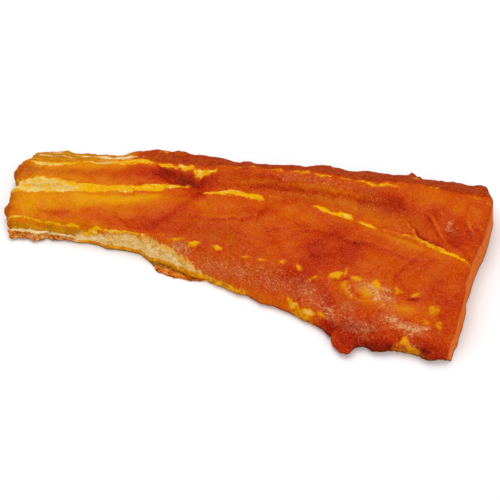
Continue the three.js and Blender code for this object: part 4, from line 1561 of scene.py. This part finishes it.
    def belly_at(self, p: Place) -> dict[str, Array]:
        """Return the pale strip, its wrinkles and ochre edge, the olive band and the crust."""
        line, crust, moss, width, strip_top = (
            course(points, p.x)
            for points in (self.band_line, self.crust_line, self.moss_line, self.ochre_line, self.strip_top)
        )
        here = p.y < self.belly_side
        belly = p.belly + self.belly_warp * p.fine
        tail = self.tail_side.fall(p.x)
        strip = inside(strip_top - p.wy + self.strip_warp * p.fine, self.strip_soft)
        strip = strip * self.strip_reach.at(p.x)
        strip = np.maximum(strip, field_of(self.strip_spots, p.wx, p.wy, self.strip_spot_soft))
        pale = inside(np.minimum(belly - crust, line + self.pale_width - belly), self.pale_soft) * tail
        ochre = (1 - ease(belly, *(end * width for end in self.ochre_ends))) * self.ochre_start.rise(p.x)
        rim = self.ochre_rim * ochre * self.ochre_rim_reach.at(p.x)
        top = self.ochre_top * hump(strip_top - p.wy, *self.ochre_top_at) * self.ochre_top_reach.at(p.x)
        olive = inside(np.minimum(belly - line, moss - belly), self.olive_soft) * self.olive_end.fall(p.x)
        patch = inside(self.olive_patch_width - belly, self.olive_soft) * hump(p.x, *self.olive_patch_at)
        return {
            "tan": np.maximum.reduce([strip, pale, rim]) * here,
            "wrinkle": ease(p.y - strip_top, *self.wrinkle_range) * self.wrinkle_start.rise(p.x),
            "ochre": np.maximum(ochre, top) * here,
            "olive": np.maximum(olive, self.olive_patch * patch) * here,
            "crust": inside(crust + self.crust_warp * p.fine - belly, self.crust_soft) * tail * here,
        }

    def fields(self, p: Place) -> dict[str, Array]:
        """Work out where each finish lies on the points of the surface.

        Args:
            p: The points' places.

        Returns:
            The fields by name, 0 to 1.
        """
        made = {**self.fat_at(p), **self.belly_at(p)}
        far = ease(p.y - course(self.far_from, p.x), *self.far_range)
        # Beyond the back fat line the flesh is made darker and browner: partly painted shade where that side
        # faces away from the light, partly its own browner colour
        far_body = far * self.far_body.rise(p.x)
        base, gain = self.far_olive
        far_olive = far * self.far_tail.fall(p.x) * (base + gain * p.mid)
        base, gain = self.far_tan
        far_tan = field_of(self.far_streaks, p.wx, p.wy, self.far_soft) * (base + gain * p.mid)
        wall = 1 - p.layer
        cut = (wall > 0) * (p.wide < self.cut_depth)
        open_wall = self.form.skin_lip.at(p.x) / self.form.skin_lip.reach * (p.y < 0)
        brown = glow_of(self.browns, p.wx, p.wy) + self.brown_cloud * p.mid + self.far_brown * far_body
        # Frost on the membrane, and painted sheen on the lobes
        frost_and_sheen = glow_of(self.frost_and_sheen_spots, p.wx, p.wy) + self.frost_body * self.frost_start.rise(p.x)
        shade = (self.shade_wall - self.shade_open * open_wall) * ease(wall, *self.shade_range)
        made.update(
            {
                "olive": np.maximum(made["olive"], far_olive),
                "tan": np.maximum(made["tan"], far_tan),
                "cut": cut,
                "tone": self.tone_at(p) - self.far_tone * far_body,
                "brown": np.minimum(brown, self.brown_most),
                "frost_and_sheen": frost_and_sheen,
                "wisp": field_of(self.wisps, p.wx, p.wy, self.wisp_soft),
                "shade": shade * (1 - cut),
            }
        )
        return {name: np.clip(values, 0.0, 1.0) for name, values in made.items()}

    def relief(self, p: Place, fields: dict[str, Array], edge: Array) -> Array:
        """Return the fine relief in millimetres, above the form.

        It is the sum of clouds of lumps of 9, 4 and 2 mm, the steps of the torn flakes,
        and beads of fat that stand proud; it fades at the rim.
        """
        s, t = self.leaning(p.x, p.y, p.z)
        height = sum(cloud.at(s, t) for cloud in self.lumps)
        height = height + sum(scarp.rise(p.wx, p.wy) for scarp in self.scarps)
        folds = 1 - np.abs(self.fold_cloud.at(self.fold_stretch * s, t))
        height = height - self.fold_depth * ease(folds, *self.fold_range) * (1 - fields["tan"])
        beads = MIDDLE + self.bead_cloud.at(s, t)
        base, gain = self.bead_height
        fat = ease(fields["fat"], *self.bead_range) * (1 - self.bead_calm * fields["tan"])
        height = height + (base + gain * beads) * fat
        height = height + self.crumb_height * (beads - MIDDLE) * fields["crust"]
        return height * ease(edge, *self.rim_range)

    def sole(self, line: Array, low: Array, rim_u: Array, first: int) -> tuple[Array, list[Array]]:
        """Close the lowest ring with strips to a line of points along the middle.

        Args:
            line: The grid's shares along the fish.
            low: Vertex numbers of the lowest ring.
            rim_u: The ring's shares along the fish.
            first: The number of the first new vertex.

        Returns:
            The new points in millimetres, and the faces.
        """
        spine_u = line[self.spine_margin : -self.spine_margin]
        x, y = self.form.plan(spine_u[None], np.full((1, len(spine_u)), MIDDLE))
        spine = first + np.arange(len(spine_u))
        step_of = np.round(rim_u * self.along).astype(int)
        nearest = spine[np.clip(step_of - self.spine_margin, 0, len(spine) - 1)]
        after, following = np.roll(low, -1), np.roll(nearest, -1)
        same = nearest == following
        threes = np.stack([after, low, nearest], 1)[same]
        fours = np.stack([after, low, nearest, following], 1)[~same]
        points = np.stack([x[0], y[0], np.full(len(spine_u), self.sole_height)], -1)
        return points, [fours, threes]

    def build(self) -> bpy.types.Object:
        """Build the closed body.

        The flesh side is a grid over u and v. Rings of the walls hang from its rim, and
        the sole closes the lowest ring.

        Returns:
            The dressed object.
        """
        line = np.linspace(0, 1, self.along + 1)
        u, v = np.meshgrid(line, np.linspace(0, 1, self.across + 1), indexing="ij")
        x, y, z = self.form.top(u, v)
        step = np.sqrt(np.diff(x, axis=1) ** 2 + np.diff(y, axis=1) ** 2 + np.diff(z, axis=1) ** 2)
        belly = np.concatenate([np.zeros((self.along + 1, 1)), np.cumsum(step, axis=1)], axis=1)
        back = belly[:, -1:] - belly
        tail = x - self.form.end_x(np.zeros_like(v), v)
        wide = self.form.end_x(np.ones_like(v), v) - x
        edge = np.minimum.reduce([belly, back, tail, wide])
        place = self.place(x, y, z, belly, wide, np.ones_like(x))
        fields = self.fields(place)
        z = z + self.relief(place, fields, edge)
        numbers = np.arange(x.size).reshape(x.shape)
        rim = np.concatenate([numbers[:, 0], numbers[-1, 1:], numbers[-2::-1, -1], numbers[0, -2:0:-1]])
        points = [np.stack([x, y, z], -1).reshape(-1, 3)]
        stored = {name: [values.ravel()] for name, values in fields.items()}
        rim_u, rim_v = u.ravel()[rim], v.ravel()[rim]
        rings = [rim]
        first = x.size
        for layer in reversed(self.layers):
            ring = self.form.wall(rim_u[None], rim_v[None], np.full((1, len(rim)), layer), lip=0.0)
            wx, wy, wz = (values[0] for values in ring)
            wz = np.maximum(wz, self.sole_height)
            belly_off = belly.ravel()[rim] - (1 - layer) * self.wall_height * (rim_v < MIDDLE)
            under = self.place(wx, wy, wz, belly_off, wide.ravel()[rim], np.full(len(rim), layer))
            for name, values in self.fields(under).items():
                stored[name].append(values.ravel())
            points.append(np.stack([wx, wy, wz], -1))
            rings.append(first + np.arange(len(rim)))
            first += len(rim)
        walls = [
            np.stack([lower, np.roll(lower, -1), np.roll(upper, -1), upper], 1)
            for upper, lower in zip(rings, rings[1:])
        ]
        spine, sole = self.sole(line, rings[-1], rim_u, first)
        points.append(spine)
        for values in stored.values():
            values.append(np.zeros(len(spine)))
        vertices = keep_in_box(np.concatenate(points) * MM)
        made = make_object("flesh", vertices, [grid_quads(numbers), *walls, *sole])
        store(made, {name: np.concatenate(values) for name, values in stored.items()})
        made.data.materials.append(FleshFinish().build())
        return made


@dataclass
class Skin:
    """The skin under the flesh: a thin tray from the belly wall over the sole to the back rim."""

    form: Form
    along: int = 420
    belly_steps: int = 16
    sole_steps: int = 34
    back_steps: int = 22
    belly_rim: float = 0.2
    flap_rim: float = 0.66
    back_rim: float = 0.9
    thickness: float = 0.7
    stand_off: float = 0.25
    belly_rag: Cloud = Cloud(Grain(5), 0.05, 4.0)
    back_rag: Cloud = Cloud(Grain(5), 0.06, 6.0, up=40)
    wrinkles: Cloud = Cloud(Grain(5), 0.9, 3.6, 2)
    wrinkle_least: float = -0.2
    torn_range: Point = (0.0, 0.08)
    paleness: float = 0.9

    def outer(self) -> tuple[Array, ...]:
        """Return the outside surface.

        Across, the profile runs from the belly rim down the wall, over the sole and up
        the back wall to the back rim. Both rims are ragged.

        Returns:
            x, y, z in millimetres, the paleness of the skin and the share of torn flap.
        """
        line = np.linspace(0, 1, self.along + 1)
        x_of = blend(-self.form.half_length, self.form.half_length, line)
        flap = self.form.skin_lip.at(x_of) / self.form.skin_lip.reach
        belly_top = blend(self.belly_rim, self.flap_rim, flap) + self.belly_rag.at(x_of, 0 * x_of)
        back_top = self.back_rim + self.back_rag.at(x_of, 0 * x_of)
        down = np.linspace(1, 0, self.belly_steps + 1)[None] * belly_top[:, None]
        up = np.linspace(0, 1, self.back_steps + 1)[None] * back_top[:, None]
        sole_v = np.linspace(0, 1, self.sole_steps + 1)[1:-1]
        sole_layer = np.zeros((self.along + 1, len(sole_v)))
        count = down.shape[1] + len(sole_v) + up.shape[1]
        u = np.repeat(np.minimum(line, 1 - TINY)[:, None], count, axis=1)
        sole = np.repeat(sole_v[None], self.along + 1, 0)
        v = np.concatenate([0 * down, sole, 0 * up + 1], axis=1)
        x, y, z = self.form.wall(u, v, np.concatenate([down, sole_layer, up], axis=1))
        flap_torn = np.repeat(ease(flap, *self.torn_range)[:, None], down.shape[1], axis=1)
        torn = np.concatenate([flap_torn, 0 * sole_layer, 0 * up], axis=1)
        pale = np.concatenate([0 * down + self.paleness, 1 - self.paleness * sole, 0 * up], axis=1)
        return x, y, z, pale, torn

    def build(self) -> bpy.types.Object:
        """Build the tray: the outside, the inside a thickness in, and the rims between.

        Returns:
            The dressed object.
        """
        x, y, z, pale, torn = self.outer()
        outside = np.stack([x, y, z], -1)
        du = np.gradient(outside, axis=0)
        dv = np.gradient(outside, axis=1)
        normal = np.cross(dv, du)
        normal /= np.maximum(np.linalg.norm(normal, axis=-1, keepdims=True), TINY)
        wrinkles = np.maximum(self.wrinkles.at(x + z, y - z) * torn, self.wrinkle_least)
        outside = outside + normal * (self.stand_off + wrinkles)[..., None]
        outside[..., 2] = np.maximum(outside[..., 2], 0.0)
        inner = outside - normal * self.thickness
        rows, columns = x.shape
        loop = np.concatenate([outside, inner[:, ::-1]], axis=1)
        numbers = np.arange(rows * 2 * columns).reshape(rows, 2 * columns)
        around = np.concatenate([numbers, numbers[:, :1]], axis=1)
        quads = grid_quads(around)[:, ::-1]
        caps = []
        for row, flip in ((0, False), (rows - 1, True)):
            first = numbers[row, :columns]
            second = numbers[row, columns:][::-1]
            cap = np.stack([first[:-1], first[1:], second[1:], second[:-1]], 1)
            caps.append(cap[:, ::-1] if flip else cap)
        vertices = keep_in_box(loop.reshape(-1, 3) * MM)
        made = make_object("skin", vertices, [quads, *caps])
        both = {"pale": pale, "flap": torn}
        mirrored = {name: np.concatenate([one, one[:, ::-1]], axis=1) for name, one in both.items()}
        store(made, mirrored)
        made.data.materials.append(SkinFinish().build())
        return made


# Floor, light and camera


@dataclass(frozen=True)
class Lamp:
    """A square area light: name, place in metres, size and power."""

    name: str
    place: tuple[float, float, float]
    size: float
    power: float


@dataclass
class Studio:
    """A pale floor, soft light from above and the camera at the photograph's angle."""

    azimuth: float = 14.0
    elevation: float = 45.0
    distance: float = 0.78
    lens: float = 100.0
    sensor: float = 36.0
    target: tuple[float, float, float] = (0.0111, -0.0129, 0.008)
    near: float = 0.01
    floor_half: float = 3.0
    floor_drop: float = 0.0002
    floor_colour: tuple = tint(250, 250, 250)
    floor_roughness: float = 0.9
    lamps: tuple[Lamp, ...] = (
        Lamp("overhead light", (-0.3, 0.5, 1.15), 1.0, 11.0),
        Lamp("front light", (0.9, -1.0, 0.75), 1.2, 9.5),
    )
    surroundings: float = 0.46

    def back(self) -> Vector:
        """Return the unit vector from the target to the camera."""
        a, e = np.radians(self.azimuth), np.radians(self.elevation)
        return Vector((np.sin(a) * np.cos(e), -np.cos(a) * np.cos(e), np.sin(e)))

    def aim(self, made: bpy.types.Object, place: Vector, target: Vector) -> None:
        """Place an object and point its -Z axis at the target."""
        made.location = place
        made.rotation_mode = "QUATERNION"
        made.rotation_quaternion = (target - place).to_track_quat("-Z", "Y")

    def camera(self) -> None:
        """Add the camera and make it the scene's."""
        data = bpy.data.cameras.new("camera")
        data.lens = self.lens
        data.sensor_width = self.sensor
        data.clip_start = self.near
        made = bpy.data.objects.new("camera", data)
        bpy.context.scene.collection.objects.link(made)
        target = Vector(self.target)
        self.aim(made, target + self.back() * self.distance, target)
        bpy.context.scene.camera = made

    def lamp(self, lamp: Lamp) -> None:
        """Add a white area light that points at the target."""
        data = bpy.data.lights.new(lamp.name, "AREA")
        data.size = lamp.size
        data.energy = lamp.power
        made = bpy.data.objects.new(lamp.name, data)
        bpy.context.scene.collection.objects.link(made)
        self.aim(made, Vector(lamp.place), Vector(self.target))

    def floor(self) -> None:
        """Add the floor as a wide square just under the fillet."""
        corners = np.array([(-1, -1, 0), (1, -1, 0), (1, 1, 0), (-1, 1, 0)])
        vertices = corners * self.floor_half - (0, 0, self.floor_drop)
        made = make_object("floor", vertices, [np.array([[0, 1, 2, 3]])])
        shader = Shader("floor")
        shader.set(Base_Color=self.floor_colour, Roughness=self.floor_roughness)
        made.data.materials.append(shader.material)

    def build(self) -> None:
        """Add the floor, the lights, the camera and the pale surroundings."""
        self.floor()
        for lamp in self.lamps:
            self.lamp(lamp)
        self.camera()
        scene = bpy.context.scene
        scene.view_settings.view_transform = "Standard"
        world = bpy.data.worlds.new("surroundings")
        world.use_nodes = True
        background = world.node_tree.nodes["Background"]
        background.inputs["Color"].default_value = (1.0, 1.0, 1.0, 1.0)
        background.inputs["Strength"].default_value = self.surroundings
        scene.world = world


def main() -> None:
    """Build the fillet and the studio, and report each piece."""
    logging.basicConfig(level=logging.INFO, format="%(message)s")
    form = Form()
    flesh = Flesh(form).build()
    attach(flesh, "root")
    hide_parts(NODE)
    LOG.info("flesh: %d vertices", len(flesh.data.vertices))
    skin = Skin(form).build()
    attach(skin, "root")
    LOG.info("skin: %d vertices", len(skin.data.vertices))
    Studio().build()
    LOG.info("studio: floor, lights and camera")


if __name__ == "__main__":
    main()
